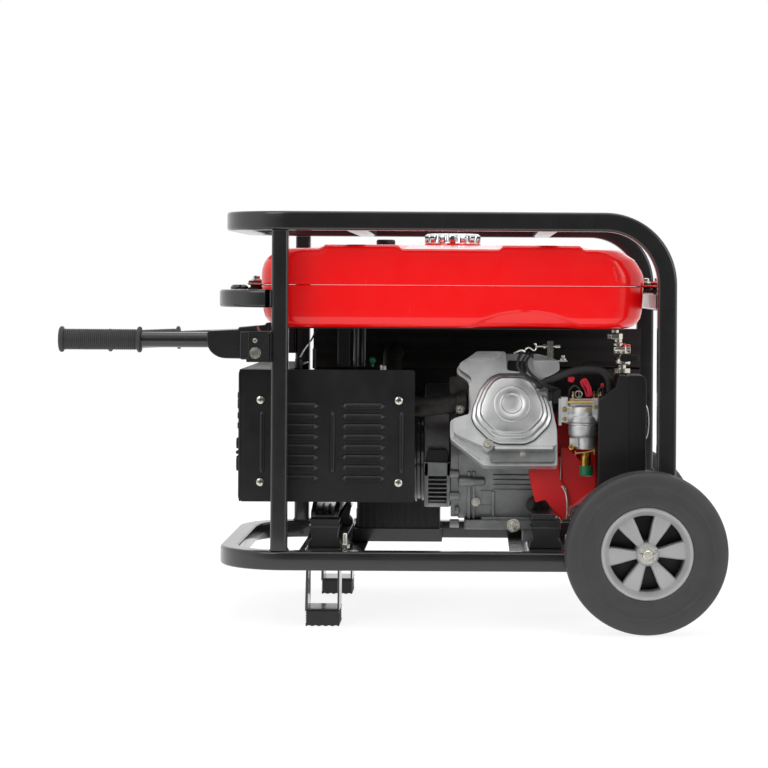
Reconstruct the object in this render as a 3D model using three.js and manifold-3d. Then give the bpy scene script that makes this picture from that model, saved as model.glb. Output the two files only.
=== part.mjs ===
// Open-frame portable generator: a bent square-tube cradle on two wheels and two legs, with a fuel tank on
// top, a single-cylinder engine and its alternator below, a control panel at one end and folding handles.
//
// Millimetres, +Z up. X runs along the crankshaft from the panel end (-X) to the wheel end (+X), and -Y is
// the carburettor side. Everything is laid out about the middle of the cradle; the last lines move the
// origin to the floor under the middle of the whole machine.
import * as THREE from "three";
import { mergeVertices } from "three/addons/utils/BufferGeometryUtils.js";
import Module from "manifold-3d";

const wasm = await Module();
wasm.setup();

// ---------------------------------------------------------------- driving dimensions
const GAP = 0.3; // between pieces that touch
const SHEET = 2; // pressed steel sheet

// cradle
const TUBE = 30; // square tube of the two side hoops
const TUBE_CORNER = 4.5;
const BEND_RADIUS = 98; // to the tube's centreline
const HALF_TRACK = 240; // middle of each side hoop from the centre plane
const HOOP_TOP = 640; // height of the top rails' centreline
const HOOP_BOTTOM = 106; // height of the bottom rails' centreline
const HOOP_WHEEL_END = 299; // centreline of the upright at the wheel end
const HOOP_PANEL_END_TOP = -388; // centreline of the top cross run
const HOOP_PANEL_END_BOTTOM = -396;
const POST = 26; // square tube of the panel-end posts
const POST_X = -309;
const END_BAR = 28; // square tube of the tank guard at the panel end
const END_BAR_X = -398;
const END_BAR_Z = 517;
const END_BAR_BEND = 74;
const TOP_CROSSBARS_X = [-195, 115];
const HAT_WIDTH = 60; // top of the hat-section cross members
const HAT_BRIM = 25; // each flange
const HAT_SHEET = 3;
const ALTERNATOR_MEMBER_X = HOOP_PANEL_END_BOTTOM + BEND_RADIUS + 57;
const ENGINE_MEMBER_X = 112;

// wheels and legs
const WHEEL_RADIUS = 127;
const WHEEL_X = HOOP_WHEEL_END - 34;
const TYRE_WIDTH = 58;
const TYRE_INNER_Y = HALF_TRACK + TUBE / 2 + 7; // from the centre plane to the tyre's inner side
const RIM_RADIUS = 72;
const RIM_WINDOW_RADIUS = 59;
const HUB_RADIUS = 16;
const SPOKES = 6;
const SPOKE_PHASE = 3; // degrees
const AXLE_RADIUS = 8;
const AXLE_END = TYRE_INNER_Y + TYRE_WIDTH + 10;
const AXLE_CLEARANCE = 0.3;
const LEG_WIDTH = 53; // along X
const LEG_DEPTH = 70; // along Y
const LEG_SHEET = 3;
const LEG_MIDDLE_Y = HALF_TRACK - 51;
const FOOT_HEIGHT = 24;

// handles
const PIVOT_X = -346;
const PIVOT_Z = 432;
const PIVOT_RADIUS = 5;
const PIVOT_CLEARANCE = 0.3;
const HANDLE_RADIUS = 12;
const HANDLE_RISE = 19.5; // handle tube's axis above the pivot
const HANDLE_LENGTH = 309; // pivot to the end of the grip
const GRIP_RADIUS = 16.5;
const GRIP_FLANGE_RADIUS = 20.5;
const GRIP_LENGTH = 128;
const KNUCKLE_WIDTH = 34;
const KNUCKLE_LENGTH = 77;
const BRACKET_WIDTH = 44;
const BRACKET_REACH = 50;
const REAR_HANDLE_DROOP = 2.5; // degrees below level, the slack of its lock
const LOCK_PIN_RADIUS = 4;

// tank
const TANK_LEFT = -346;
const TANK_RIGHT = 268;
const TANK_HALF_WIDTH = 205;
const TANK_CORNER = 60;
const TANK_BOTTOM = 471;
const TANK_SEAM = 539;
const TANK_TOP = 601;
const CAP_X = -41;
const CAP_RADIUS = 47;
const CAP_THICKNESS = 20;
const NECK_RADIUS = 38;
const GASKET = 3;
const NECK_HEIGHT = 4;
const TAB_REACH = 40;

// engine and alternator
const SHAFT_Y = 25;
const SHAFT_Z = 270;
const SHAFT_RADIUS = 14;
const CYLINDER_TILT = 20; // degrees above level, towards the carburettor side
const CASE_LEFT = -41;
const CASE_RIGHT = 129;
const CASE_FRONT = -92;
const CASE_BACK = 112;
const CASE_TOP = 345;
const BASE_Z = 142;
const SHROUD_RADIUS = 118;
const SHROUD_SHEET = 3;
const SHROUD_RIGHT = 213;
const FLYWHEEL_RADIUS = SHROUD_RADIUS - 18;
const RECOIL_RADIUS = SHROUD_RADIUS - 26;
const RECOIL_DEPTH = 44;
const STATOR_RADIUS = 95;
const STATOR_WALL = 20;
const ROTOR_RADIUS = 70;
const STATOR_LEFT = -270;
const STATOR_RIGHT = -86;
const BELL_RADIUS = 104;

// control end
const PANEL_X = -377; // outer face
const BOX_RIGHT = -296;
const COVER_RIGHT = -98;
const BOX_HALF_WIDTH = 200;
const BOX_BOTTOM = 194;
const BOX_TOP = 404;

// ---------------------------------------------------------------- materials
const paint = (color, roughness, metalness) =>
  new THREE.MeshStandardMaterial({ color, roughness, metalness });
const BLACK_PAINT = paint(0x1c1c1d, 0.3, 0.2);
const RED_PAINT = paint(0xd5090c, 0.25, 0.1);
const DARK_RED_PLASTIC = paint(0x9c060b, 0.4, 0);
const CAST_ALUMINIUM = paint(0xa3a5a6, 0.5, 0.8);
const BRIGHT_ALUMINIUM = paint(0xc9cbcc, 0.35, 0.9);
const ZINC = paint(0xd8d4c4, 0.3, 0.9);
const CHROME = paint(0xe6e8ea, 0.1, 1);
const STEEL = paint(0x8a8c8e, 0.4, 0.9);
const IRON = paint(0x4a4b4c, 0.6, 0.7);
const RUBBER = paint(0x29292a, 0.8, 0);
const TYRE_RUBBER = paint(0x3a3a3b, 0.75, 0);
const BLACK_PLASTIC = paint(0x242426, 0.5, 0);
const SILVER_PLASTIC = paint(0xb4b4b4, 0.45, 0.3);
const RED_PLASTIC = paint(0xb10e25, 0.4, 0);

// ---------------------------------------------------------------- shape helpers
const rad = THREE.MathUtils.degToRad;

// A geometry as a manifold solid, and back.
function solid(geometry) {
  const bare = new THREE.BufferGeometry().setAttribute("position", geometry.getAttribute("position"));
  if (geometry.index) bare.setIndex(geometry.index);
  const merged = mergeVertices(bare, 1e-4);
  const mesh = new wasm.Mesh({
    numProp: 3,
    vertProperties: merged.attributes.position.array,
    triVerts: new Uint32Array(merged.index.array),
  });
  return new wasm.Manifold(mesh);
}

function geometryOf(made) {
  const mesh = made.getMesh();
  return new THREE.BufferGeometry()
    .setAttribute("position", new THREE.BufferAttribute(mesh.vertProperties, 3))
    .setIndex(new THREE.BufferAttribute(mesh.triVerts, 1));
}

const join = (first, ...rest) => rest.reduce((sum, next) => sum.add(next), first);
const cut = (first, ...rest) => rest.reduce((left, next) => left.subtract(next), first);

// Turns a geometry made along +Z so that it runs along the named axis: X, Y and Z keep their cyclic order.
function alongAxis(geometry, axis) {
  const [x, y, z] = [new THREE.Vector3(1, 0, 0), new THREE.Vector3(0, 1, 0), new THREE.Vector3(0, 0, 1)];
  const bases = { X: [y, z, x], Y: [z, x, y], Z: [x, y, z] };
  return geometry.applyMatrix4(new THREE.Matrix4().makeBasis(...bases[axis]));
}

function block(x0, x1, y0, y1, z0, z1) {
  const made = new THREE.BoxGeometry(x1 - x0, y1 - y0, z1 - z0);
  return solid(made.translate((x0 + x1) / 2, (y0 + y1) / 2, (z0 + z1) / 2));
}

// A cylinder or cone along an axis between two stations of it; centre holds the other two coordinates.
function rod(axis, from, to, radius, centre, { endRadius = radius, sides = 20 } = {}) {
  const made = new THREE.CylinderGeometry(endRadius, radius, to - from, sides).rotateX(Math.PI / 2);
  alongAxis(made.translate(0, 0, (from + to) / 2), axis);
  return solid(made.translate(...spread(axis, centre)));
}

// Two coordinates across an axis as a full offset, given in X, Y, Z order.
function spread(axis, [a, b]) {
  return { X: [0, a, b], Y: [a, 0, b], Z: [a, b, 0] }[axis];
}

// A turned piece: profile is a closed or axis-to-axis list of [radius, station along the axis].
function turned(axis, profile, centre, sides = 32) {
  const points = profile.map(([r, s]) => new THREE.Vector2(r, s));
  const made = new THREE.LatheGeometry(points, sides).rotateX(Math.PI / 2);
  alongAxis(made, axis);
  const piece = solid(made.translate(...spread(axis, centre)));
  return piece.volume() < 0 ? solid(flipped(made)) : piece;
}

function flipped(geometry) {
  const index = Array.from(geometry.index.array);
  for (let i = 0; i < index.length; i += 3) [index[i], index[i + 1]] = [index[i + 1], index[i]];
  return geometry.clone().setIndex(index);
}

// An outline extruded along an axis. Outline points are [x, z] for Y, [y, z] for X and [x, y] for Z.
function prism(axis, outline, from, to) {
  const points = outline.map(([a, b]) => (axis === "Y" ? new THREE.Vector2(b, a) : new THREE.Vector2(a, b)));
  const made = new THREE.ExtrudeGeometry(new THREE.Shape(points), { depth: to - from, bevelEnabled: false });
  return solid(alongAxis(made.translate(0, 0, from), axis));
}

function roundedRectangle(x0, x1, y0, y1, radius, steps = 4) {
  const centres = [[x1 - radius, y1 - radius], [x0 + radius, y1 - radius], [x0 + radius, y0 + radius],
    [x1 - radius, y0 + radius]];
  return centres.flatMap(([x, y], quarter) =>
    Array.from({ length: steps + 1 }, (_, i) => {
      const angle = ((quarter + i / steps) * Math.PI) / 2;
      return [x + radius * Math.cos(angle), y + radius * Math.sin(angle)];
    }),
  );
}

// An outline across a middle line at x: the right-hand points as given, then the same on the left,
// backwards.
function symmetric(x, right) {
  return [...right.map(([a, z]) => [x + a, z]), ...right.toReversed().map(([a, z]) => [x - a, z])];
}

// A centreline through corner points, each corner rounded to the bend radius, with one station per straight
// end and a few per bend.
class Route extends THREE.Curve {
  constructor(corners, radius, steps = 6) {
    super();
    this.stations = [corners[0].clone()];
    for (let i = 1; i < corners.length - 1; i++) {
      this.addBend(corners[i - 1], corners[i], corners[i + 1], radius, steps);
    }
    this.stations.push(corners.at(-1).clone());
  }

  addBend(before, corner, after, radius, steps) {
    const arriving = corner.clone().sub(before).normalize();
    const leaving = after.clone().sub(corner).normalize();
    const turn = arriving.angleTo(leaving);
    if (turn < 1e-4) return;
    const start = corner.clone().addScaledVector(arriving, -radius * Math.tan(turn / 2));
    const axis = arriving.clone().cross(leaving).normalize();
    const centre = start.clone().addScaledVector(axis.clone().cross(arriving), radius);
    const arm = start.clone().sub(centre);
    for (let k = 0; k <= steps; k++) {
      this.stations.push(arm.clone().applyAxisAngle(axis, (turn * k) / steps).add(centre));
    }
  }

  getPoint(t) {
    const last = this.stations.length - 1;
    const k = Math.min(Math.floor(t * last + 1e-9), last - 1);
    return this.stations[k].clone().lerp(this.stations[k + 1], t * last - k);
  }

  getPointAt(t) {
    return this.getPoint(t);
  }

  getTangentAt(t) {
    const last = this.stations.length - 1;
    const k = Math.round(t * last);
    const direction = new THREE.Vector3();
    if (k > 0) direction.add(this.stations[k].clone().sub(this.stations[k - 1]).normalize());
    if (k < last) direction.add(this.stations[k + 1].clone().sub(this.stations[k]).normalize());
    return direction.normalize();
  }
}

function squareSection(size, corner) {
  const h = size / 2;
  const c = h - corner;
  const points = [[h, -c], [h, c], [c, h], [-c, h], [-h, c], [-h, -c], [-c, -h], [c, -h]];
  return new THREE.Shape(points.map(([a, b]) => new THREE.Vector2(a, b)));
}

function roundSection(radius, sides = 10) {
  const points = Array.from({ length: sides }, (_, i) => {
    const angle = (2 * Math.PI * i) / sides;
    return new THREE.Vector2(radius * Math.cos(angle), radius * Math.sin(angle));
  });
  return new THREE.Shape(points);
}

function swept(section, corners, radius, steps) {
  const route = new Route(corners.map((p) => new THREE.Vector3(...p)), radius, steps);
  return solid(new THREE.ExtrudeGeometry(section, { steps: route.stations.length - 1, extrudePath: route }));
}

// ---------------------------------------------------------------- assembly helpers
const generator = new THREE.Group();

function place(name, made, material, parent = generator) {
  const mesh = new THREE.Mesh(geometryOf(made), material);
  mesh.name = name;
  parent.add(mesh);
  return mesh;
}

// The two sides of the machine: front is -Y, the carburettor side.
const SIDES = [["front", -1], ["rear", 1]];
const mirrored = (made, side) => (side > 0 ? made.mirror([0, 1, 0]) : made);

// ---------------------------------------------------------------- cradle
// Each hoop starts at the middle of the bottom cross run, follows the floor, rises at the wheel end and comes
// back along the top to the middle of the top cross run, where the two hoops are butt-welded.
function sideHoop() {
  const y = -HALF_TRACK;
  const corners = [
    [HOOP_PANEL_END_BOTTOM, -GAP / 2, HOOP_BOTTOM],
    [HOOP_PANEL_END_BOTTOM, y, HOOP_BOTTOM],
    [HOOP_WHEEL_END, y, HOOP_BOTTOM],
    [HOOP_WHEEL_END, y, HOOP_TOP],
    [HOOP_PANEL_END_TOP, y, HOOP_TOP],
    [HOOP_PANEL_END_TOP, -GAP / 2, HOOP_TOP],
  ];
  const hoop = swept(squareSection(TUBE, TUBE_CORNER), corners, BEND_RADIUS, 6);
  return cut(hoop, rod("Y", y - TUBE, y + TUBE, AXLE_RADIUS + AXLE_CLEARANCE, [WHEEL_X, WHEEL_RADIUS],
    { sides: 16 }));
}

// Post with the handle's clevis and the two tabs of the control box welded to it.
function panelPost() {
  const from = HOOP_BOTTOM + TUBE / 2 + GAP;
  const to = HOOP_TOP - TUBE / 2 - GAP;
  const post = swept(squareSection(POST, TUBE_CORNER),
    [[POST_X, -HALF_TRACK, from], [POST_X, -HALF_TRACK, to]], 1);
  const tabs = [BOX_BOTTOM + 12, BOX_TOP - 32].map((z) =>
    block(POST_X - 5, POST_X + 5, -HALF_TRACK + POST / 2 - 1, -BOX_HALF_WIDTH - GAP, z, z + 20),
  );
  return join(post, handleClevis(), ...tabs);
}

// The clevis carries the pivot bolt that the handle's knuckle turns on.
function handleClevis() {
  const y = -HALF_TRACK;
  const h = BRACKET_WIDTH / 2;
  const right = POST_X - POST / 2 + 1;
  const left = right - BRACKET_REACH;
  const [low, high] = [PIVOT_Z - 14, PIVOT_Z + 34];
  const cheek = [[right, low], [left + 6, low], [left, low + 6], [left, high - 8], [left + 8, high],
    [right, high]];
  const pin = rod("Y", y - h - 3, y + h + 3, PIVOT_RADIUS, [PIVOT_X, PIVOT_Z], { sides: 16 });
  const lockHole = rod("Y", y - h - 3, y, LOCK_PIN_RADIUS + GAP, [PIVOT_X, PIVOT_Z + HANDLE_RISE],
    { sides: 12 });
  const cheeks = join(prism("Y", cheek, y - h, y - h + 3), prism("Y", cheek, y + h - 3, y + h));
  const web = block(right - 4, right, y - h, y + h, low, high);
  return cut(join(cheeks, web, pin), lockHole);
}

// The guard bar bows out from post to post and carries the tank's panel-end tab on a small welded plate.
function endBar() {
  const legEnd = POST_X - POST / 2 - GAP;
  const corners = [
    [legEnd, -HALF_TRACK, END_BAR_Z],
    [END_BAR_X, -HALF_TRACK, END_BAR_Z],
    [END_BAR_X, HALF_TRACK, END_BAR_Z],
    [legEnd, HALF_TRACK, END_BAR_Z],
  ];
  const top = END_BAR_Z + END_BAR / 2;
  const inner = END_BAR_X + END_BAR / 2;
  const plate = block(inner - 2, inner + 30, -TAB_HALF_WIDTH, TAB_HALF_WIDTH, top - HAT_SHEET, top);
  const boss = rod("Z", top - 1, TANK_SEAM - GAP, BOSS_RADIUS, [LEFT_TAB_X, 0], { sides: 16 });
  return join(swept(squareSection(END_BAR, TUBE_CORNER), corners, END_BAR_BEND, 6), plate, boss);
}

const TAB_HALF_WIDTH = 20;
const BOSS_RADIUS = 11; // rubber bushes under the tank's tabs
const LEFT_TAB_X = -370;
const RIGHT_TABS_Y = TANK_HALF_WIDTH - 65;
const RIGHT_TAB_X = 293;
const crossLength = HALF_TRACK - TUBE / 2 - GAP; // half the clear width between the hoops

// The bar across the wheel end stands as high as the guard bar, with a bush under each tank tab.
function tankSupportBar() {
  const top = END_BAR_Z + END_BAR / 2;
  const section = roundedRectangle(HOOP_WHEEL_END - POST / 2, HOOP_WHEEL_END + POST / 2, top - TUBE, top,
    TUBE_CORNER, 1);
  const bar = prism("Y", section, -crossLength, crossLength);
  const bosses = [-RIGHT_TABS_Y, RIGHT_TABS_Y].map((y) =>
    rod("Z", top - 1, TANK_SEAM - GAP, BOSS_RADIUS, [RIGHT_TAB_X, y], { sides: 16 }),
  );
  return join(bar, ...bosses);
}

function topCrossbar(x) {
  const h = TUBE / 2;
  return prism("Y", roundedRectangle(x - h, x + h, HOOP_TOP - h, HOOP_TOP + h, TUBE_CORNER, 1),
    -crossLength, crossLength);
}

// Hat-section member between the bottom rails: the crown carries the rubber mounts, the brims take the
// legs.
function hatMember(x) {
  const top = HOOP_BOTTOM + TUBE / 2;
  const bottom = HOOP_BOTTOM - TUBE / 2;
  const h = HAT_WIDTH / 2;
  const t = HAT_SHEET;
  const b = h + HAT_BRIM;
  const inside = [[h - t, bottom], [h - t, top - t]];
  const half = [[b, bottom], [b, bottom + t], [h, bottom + t], [h, top]];
  return prism("Y", [...symmetric(x, half), ...symmetric(x, inside).reverse()], -crossLength, crossLength);
}

for (const [end, side] of SIDES) {
  place(`side_hoop_${end}`, mirrored(sideHoop(), side), BLACK_PAINT);
  place(`panel_post_${end}`, mirrored(panelPost(), side), BLACK_PAINT);
}
place("end_guard_bar", endBar(), BLACK_PAINT);
place("tank_support_bar", tankSupportBar(), BLACK_PAINT);
place("top_crossbar_panel_end", topCrossbar(TOP_CROSSBARS_X[0]), BLACK_PAINT);
place("top_crossbar_wheel_end", topCrossbar(TOP_CROSSBARS_X[1]), BLACK_PAINT);
place("alternator_cross_member", hatMember(ALTERNATOR_MEMBER_X), BLACK_PAINT);
place("engine_cross_member", hatMember(ENGINE_MEMBER_X), BLACK_PAINT);

// ---------------------------------------------------------------- legs
// A strap bent into a U, its two ears bolted under the brims of the cross member, with a ribbed rubber pad
// below.
function leg() {
  const top = HOOP_BOTTOM - TUBE / 2 - GAP;
  const h = LEG_WIDTH / 2;
  const t = LEG_SHEET;
  const ear = HAT_WIDTH / 2 + HAT_BRIM - 2;
  const web = FOOT_HEIGHT + GAP;
  const right = [[h, web], [h, top - 10], [h + 8, top - t], [ear, top - t], [ear, top], [h + 6, top],
    [h - t, top - 8], [h - t, web + t]];
  return prism("Y", symmetric(ALTERNATOR_MEMBER_X, right), -LEG_MIDDLE_Y - LEG_DEPTH / 2 + 2,
    -LEG_MIDDLE_Y + LEG_DEPTH / 2 - 2);
}

function footPad() {
  const h = LEG_WIDTH / 2;
  const x = ALTERNATOR_MEMBER_X;
  return block(x - h, x + h, -LEG_MIDDLE_Y - LEG_DEPTH / 2, -LEG_MIDDLE_Y + LEG_DEPTH / 2, 0, FOOT_HEIGHT);
}

for (const [end, side] of SIDES) {
  place(`leg_${end}`, mirrored(leg(), side), BLACK_PAINT);
  place(`foot_pad_${end}`, mirrored(footPad(), side), RUBBER);
}

// ---------------------------------------------------------------- rubber mounts
const MOUNT_WIDTH = 52;
const MOUNT_DEPTH = 42;
const MOUNT_HEIGHT = 44;
const MOUNT_CHAMFER = 7;

function rubberMount(x) {
  const from = HOOP_BOTTOM + TUBE / 2 + GAP;
  const to = from + MOUNT_HEIGHT;
  const waist = (from + to) / 2;
  const h = MOUNT_WIDTH / 2;
  const c = MOUNT_CHAMFER;
  const right = [[h, from], [h, waist - c / 2], [h - 2, waist], [h, waist + c / 2], [h, to - c], [h - c, to]];
  return prism("Y", symmetric(x, right), -LEG_MIDDLE_Y - 1, -LEG_MIDDLE_Y - 1 + MOUNT_DEPTH);
}

for (const [end, side] of SIDES) {
  place(`alternator_mount_${end}`, mirrored(rubberMount(ALTERNATOR_MEMBER_X), side), RUBBER);
  place(`engine_mount_${end}`, mirrored(rubberMount(ENGINE_MEMBER_X), side), RUBBER);
}
const MOUNT_TOP = HOOP_BOTTOM + TUBE / 2 + GAP + MOUNT_HEIGHT;

// ---------------------------------------------------------------- wheels
const tyreOuterY = TYRE_INNER_Y + TYRE_WIDTH;
const wheelCentre = [WHEEL_X, WHEEL_RADIUS];

function tyre() {
  const [a, b] = [-tyreOuterY, -TYRE_INNER_Y];
  const shoulder = 9;
  const r = WHEEL_RADIUS;
  const profile = [
    [RIM_RADIUS + GAP, a + 5], [r * 0.79, a], [r - shoulder, a + 2], [r, a + shoulder],
    [r, b - shoulder], [r - shoulder, b - 2], [r * 0.79, b], [RIM_RADIUS + GAP, b - 5],
    [RIM_RADIUS + GAP, a + 5],
  ];
  return turned("Y", profile, wheelCentre, 40);
}

// The rim is a ring on six spokes that widen outwards from the hub.
function rim() {
  const [a, b] = [-tyreOuterY + 4, -TYRE_INNER_Y - 4];
  const ring = cut(
    rod("Y", a, b, RIM_RADIUS, wheelCentre, { sides: 40 }),
    rod("Y", a - 1, b + 1, RIM_WINDOW_RADIUS, wheelCentre, { sides: 40 }),
  );
  const hub = rod("Y", -AXLE_END + 8, -TYRE_INNER_Y + 5, HUB_RADIUS, wheelCentre, { sides: 24 });
  const reach = RIM_WINDOW_RADIUS + 2;
  const spoke = [[8, -6], [reach, -17], [reach, 17], [8, 6]];
  const spokes = Array.from({ length: SPOKES }, (_, i) => {
    const turn = rad(SPOKE_PHASE + (360 / SPOKES) * i);
    const outline = spoke.map(([along, across]) => [
      WHEEL_X + along * Math.cos(turn) - across * Math.sin(turn),
      WHEEL_RADIUS + along * Math.sin(turn) + across * Math.cos(turn),
    ]);
    return prism("Y", outline, a + 4, a + 16);
  });
  const bore = rod("Y", -AXLE_END, 0, AXLE_RADIUS + AXLE_CLEARANCE, wheelCentre, { sides: 16 });
  return cut(join(ring, hub, ...spokes), bore);
}

for (const [end, side] of SIDES) {
  place(`tyre_${end}`, mirrored(tyre(), side), TYRE_RUBBER);
  place(`wheel_rim_${end}`, mirrored(rim(), side), SILVER_PLASTIC);
}
place("axle", rod("Y", -AXLE_END, AXLE_END, AXLE_RADIUS, wheelCentre, { sides: 16 }), STEEL);

// ---------------------------------------------------------------- folding handles
// Spring pin with a button head outside the clevis; its tip stops just short of the knuckle.
function lockPin() {
  const outer = -HALF_TRACK - BRACKET_WIDTH / 2;
  const centre = [PIVOT_X, PIVOT_Z + HANDLE_RISE];
  return join(
    rod("Y", outer - 1, outer + 3, LOCK_PIN_RADIUS, centre, { sides: 12 }),
    rod("Y", outer - 5, outer - GAP, LOCK_PIN_RADIUS + 2, centre, { sides: 12 }),
  );
}

// Drawn about the pivot, so that it can be turned there.
function handleTube() {
  const h = KNUCKLE_WIDTH / 2;
  const cheek = [
    [9, -9], [11, 0], [11, 34], [-20, 37], [-KNUCKLE_LENGTH, 35], [-KNUCKLE_LENGTH, 17],
    [-KNUCKLE_LENGTH + 4, 6], [-KNUCKLE_LENGTH + 12, -4], [-KNUCKLE_LENGTH + 22, -10],
  ];
  const cheeks = join(prism("Y", cheek, -h, -h + 3), prism("Y", cheek, h - 3, h));
  const web = prism("Y", [[-14, 34], [-14, 37], [-KNUCKLE_LENGTH, 35], [-KNUCKLE_LENGTH, 32]], -h, h);
  const tube = rod("X", -HANDLE_LENGTH + 4, -30, HANDLE_RADIUS, [0, HANDLE_RISE], { sides: 20 });
  const filler = block(-KNUCKLE_LENGTH + 8, -34, -h + 2, h - 2, HANDLE_RISE - 8, HANDLE_RISE + 8);
  const hole = rod("Y", -h - 1, h + 1, PIVOT_RADIUS + PIVOT_CLEARANCE, [0, 0], { sides: 16 });
  return cut(join(cheeks, web, tube, filler), hole);
}

function handleGrip() {
  const [end, mouth] = [-HANDLE_LENGTH, -HANDLE_LENGTH + GRIP_LENGTH];
  const inner = HANDLE_RADIUS + GAP;
  const [body, flange] = [GRIP_RADIUS, GRIP_FLANGE_RADIUS];
  const profile = [
    [0, end], [flange - 2, end], [flange, end + 2], [body, end + 6], [body, mouth - 5], [flange, mouth - 4],
    [flange, mouth], [inner, mouth], [inner, end + 4 - GAP], [0, end + 4 - GAP],
  ];
  return turned("X", profile, [0, HANDLE_RISE], 24);
}

for (const [end, side] of SIDES) {
  place(`handle_lock_pin_${end}`, mirrored(lockPin(), side), ZINC);
  const handle = new THREE.Group();
  handle.position.set(PIVOT_X, side * HALF_TRACK, PIVOT_Z);
  handle.rotation.y = side > 0 ? -rad(REAR_HANDLE_DROOP) : 0;
  place(`handle_tube_${end}`, handleTube(), BLACK_PAINT, handle);
  place(`handle_grip_${end}`, handleGrip(), RUBBER, handle);
  generator.add(handle);
}

// ---------------------------------------------------------------- fuel tank
// Two pressed pans that meet at the seam. inset shrinks the shape for the hollow.
function tankUpper(inset) {
  const [l, r, w, top] = [TANK_LEFT + inset, TANK_RIGHT - inset, TANK_HALF_WIDTH - inset, TANK_TOP - inset];
  const from = TANK_SEAM + GAP - (inset ? 1 : 0);
  const plan = prism("Z", roundedRectangle(l, r, -w, w, TANK_CORNER - inset), from, top);
  const side = [[l, from], [l, top - 34], [l + 8, top - 15], [l + 28, top], [r - 30, top],
    [r - 6, top - 27], [r, top - 55], [r, from]];
  return plan.intersect(prism("Y", side, -w - 1, w + 1));
}

function tankLower(inset) {
  const [l, r, w, low] = [TANK_LEFT + 2 + inset, TANK_RIGHT - 2 - inset, TANK_HALF_WIDTH - 2 - inset,
    TANK_BOTTOM + inset];
  const to = TANK_SEAM + (inset ? 1 : 0);
  const plan = prism("Z", roundedRectangle(l, r, -w, w, TANK_CORNER - inset), low, to);
  const side = [[l, to], [l + 3, low + 20], [l + 12, low + 6], [l + 30, low], [r - 30, low],
    [r - 11, low + 7], [r - 2, low + 24], [r, to]];
  return plan.intersect(prism("Y", side, -w - 1, w + 1));
}

function tankUpperShell() {
  const seam = TANK_SEAM + GAP;
  const tab = (x0, x1, y) => block(x0, x1, y - TAB_HALF_WIDTH, y + TAB_HALF_WIDTH, seam, seam + SHEET);
  const neck = rod("Z", TANK_TOP - 1, TANK_TOP + NECK_HEIGHT, NECK_RADIUS, [CAP_X, 0], { sides: 24 });
  const mouth = rod("Z", TANK_TOP - 20, TANK_TOP + NECK_HEIGHT + 1, NECK_RADIUS - SHEET, [CAP_X, 0],
    { sides: 24 });
  return cut(
    join(
      cut(tankUpper(0), tankUpper(SHEET)),
      neck,
      tab(TANK_LEFT - TAB_REACH, TANK_LEFT + 1, 0),
      tab(TANK_RIGHT - 1, TANK_RIGHT + TAB_REACH, -RIGHT_TABS_Y),
      tab(TANK_RIGHT - 1, TANK_RIGHT + TAB_REACH, RIGHT_TABS_Y),
    ),
    mouth,
  );
}

place("tank_upper_shell", tankUpperShell(), RED_PAINT);
place("tank_lower_shell", cut(tankLower(0), tankLower(SHEET)), RED_PAINT);

// The gasket stays still on the neck while the cap turns above it; both lift off together.
const CAP_BASE = TANK_TOP + NECK_HEIGHT + GAP;
function fuelCap() {
  const [r, base, top] = [CAP_RADIUS, CAP_BASE + GAP, CAP_BASE + CAP_THICKNESS];
  const [inner, ceiling] = [NECK_RADIUS + 1, base + GASKET];
  const profile = [[0, ceiling], [inner, ceiling], [inner, base], [r, base], [r, top - 3], [r - 3, top],
    [0, top]];
  return turned("Z", profile, [CAP_X, 0], 24);
}
place("fuel_cap_gasket", rod("Z", CAP_BASE, CAP_BASE + GASKET, NECK_RADIUS, [CAP_X, 0], { sides: 24 }),
  RUBBER);
place("fuel_cap", fuelCap(), CHROME);

// ---------------------------------------------------------------- engine
const shaftCentre = [SHAFT_Y, SHAFT_Z];

// A point of the leaning cylinder: along it from the crankshaft's axis, and up across it.
function onCylinder(along, up) {
  const [c, s] = [Math.cos(rad(CYLINDER_TILT)), Math.sin(rad(CYLINDER_TILT))];
  return [SHAFT_Y - along * c + up * s, SHAFT_Z + along * s + up * c];
}
const BARREL_START = 126; // where the finned barrel leaves the case
const HEAD_START = 150;
const HEAD_END = 196;
const ROCKER_COVER_END = 232;
const barrelFoot = onCylinder(BARREL_START - GAP, -50);

function crankcase() {
  const body = prism("X", [
    [CASE_FRONT, BASE_Z + 18], barrelFoot, onCylinder(BARREL_START - GAP, 58), [CASE_BACK - 40, CASE_TOP],
    [CASE_BACK, CASE_TOP - 40], [CASE_BACK, BASE_Z + 18],
  ], CASE_LEFT, CASE_RIGHT);
  const base = block(CASE_LEFT + 22, CASE_RIGHT - 18, CASE_FRONT - 16, CASE_BACK + 16, BASE_Z, BASE_Z + 19);
  const boss = rod("X", CASE_LEFT + 4, CASE_LEFT + 56, 14, [CASE_FRONT - 4, SHAFT_Z - 25], { sides: 16 });
  // The arms that rest on the rubber mounts reach out level with the top of the mounts.
  const arms = block(ENGINE_MEMBER_X - 22, ENGINE_MEMBER_X + 16, -LEG_MIDDLE_Y + 4, LEG_MIDDLE_Y - 4,
    MOUNT_TOP + GAP, MOUNT_TOP + 10);
  const bore = rod("X", CASE_LEFT - 1, CASE_RIGHT + 1, SHAFT_RADIUS + 1, shaftCentre, { sides: 24 });
  return cut(join(body, base, boss, arms), bore);
}
place("crankcase", crankcase(), CAST_ALUMINIUM);

// The cylinder leans towards the carburettor side. Its parts are drawn about the crankshaft, level, and
// tilted together.
const cylinder = new THREE.Group();
cylinder.position.set(0, SHAFT_Y, SHAFT_Z);
cylinder.rotation.x = -rad(CYLINDER_TILT);
generator.add(cylinder);

function cylinderHead() {
  const barrel = block(2, 104, -HEAD_START - 4, -BARREL_START, -40, 66);
  const fins = Array.from({ length: 5 },
    (_, i) => block(-6, 112, -HEAD_START - 3, -BARREL_START, -48 + 26 * i, -44 + 26 * i));
  const plate = block(0, 106, -HEAD_START, -HEAD_START + 4, -50, 66);
  return join(barrel, plate, ...fins);
}

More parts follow.
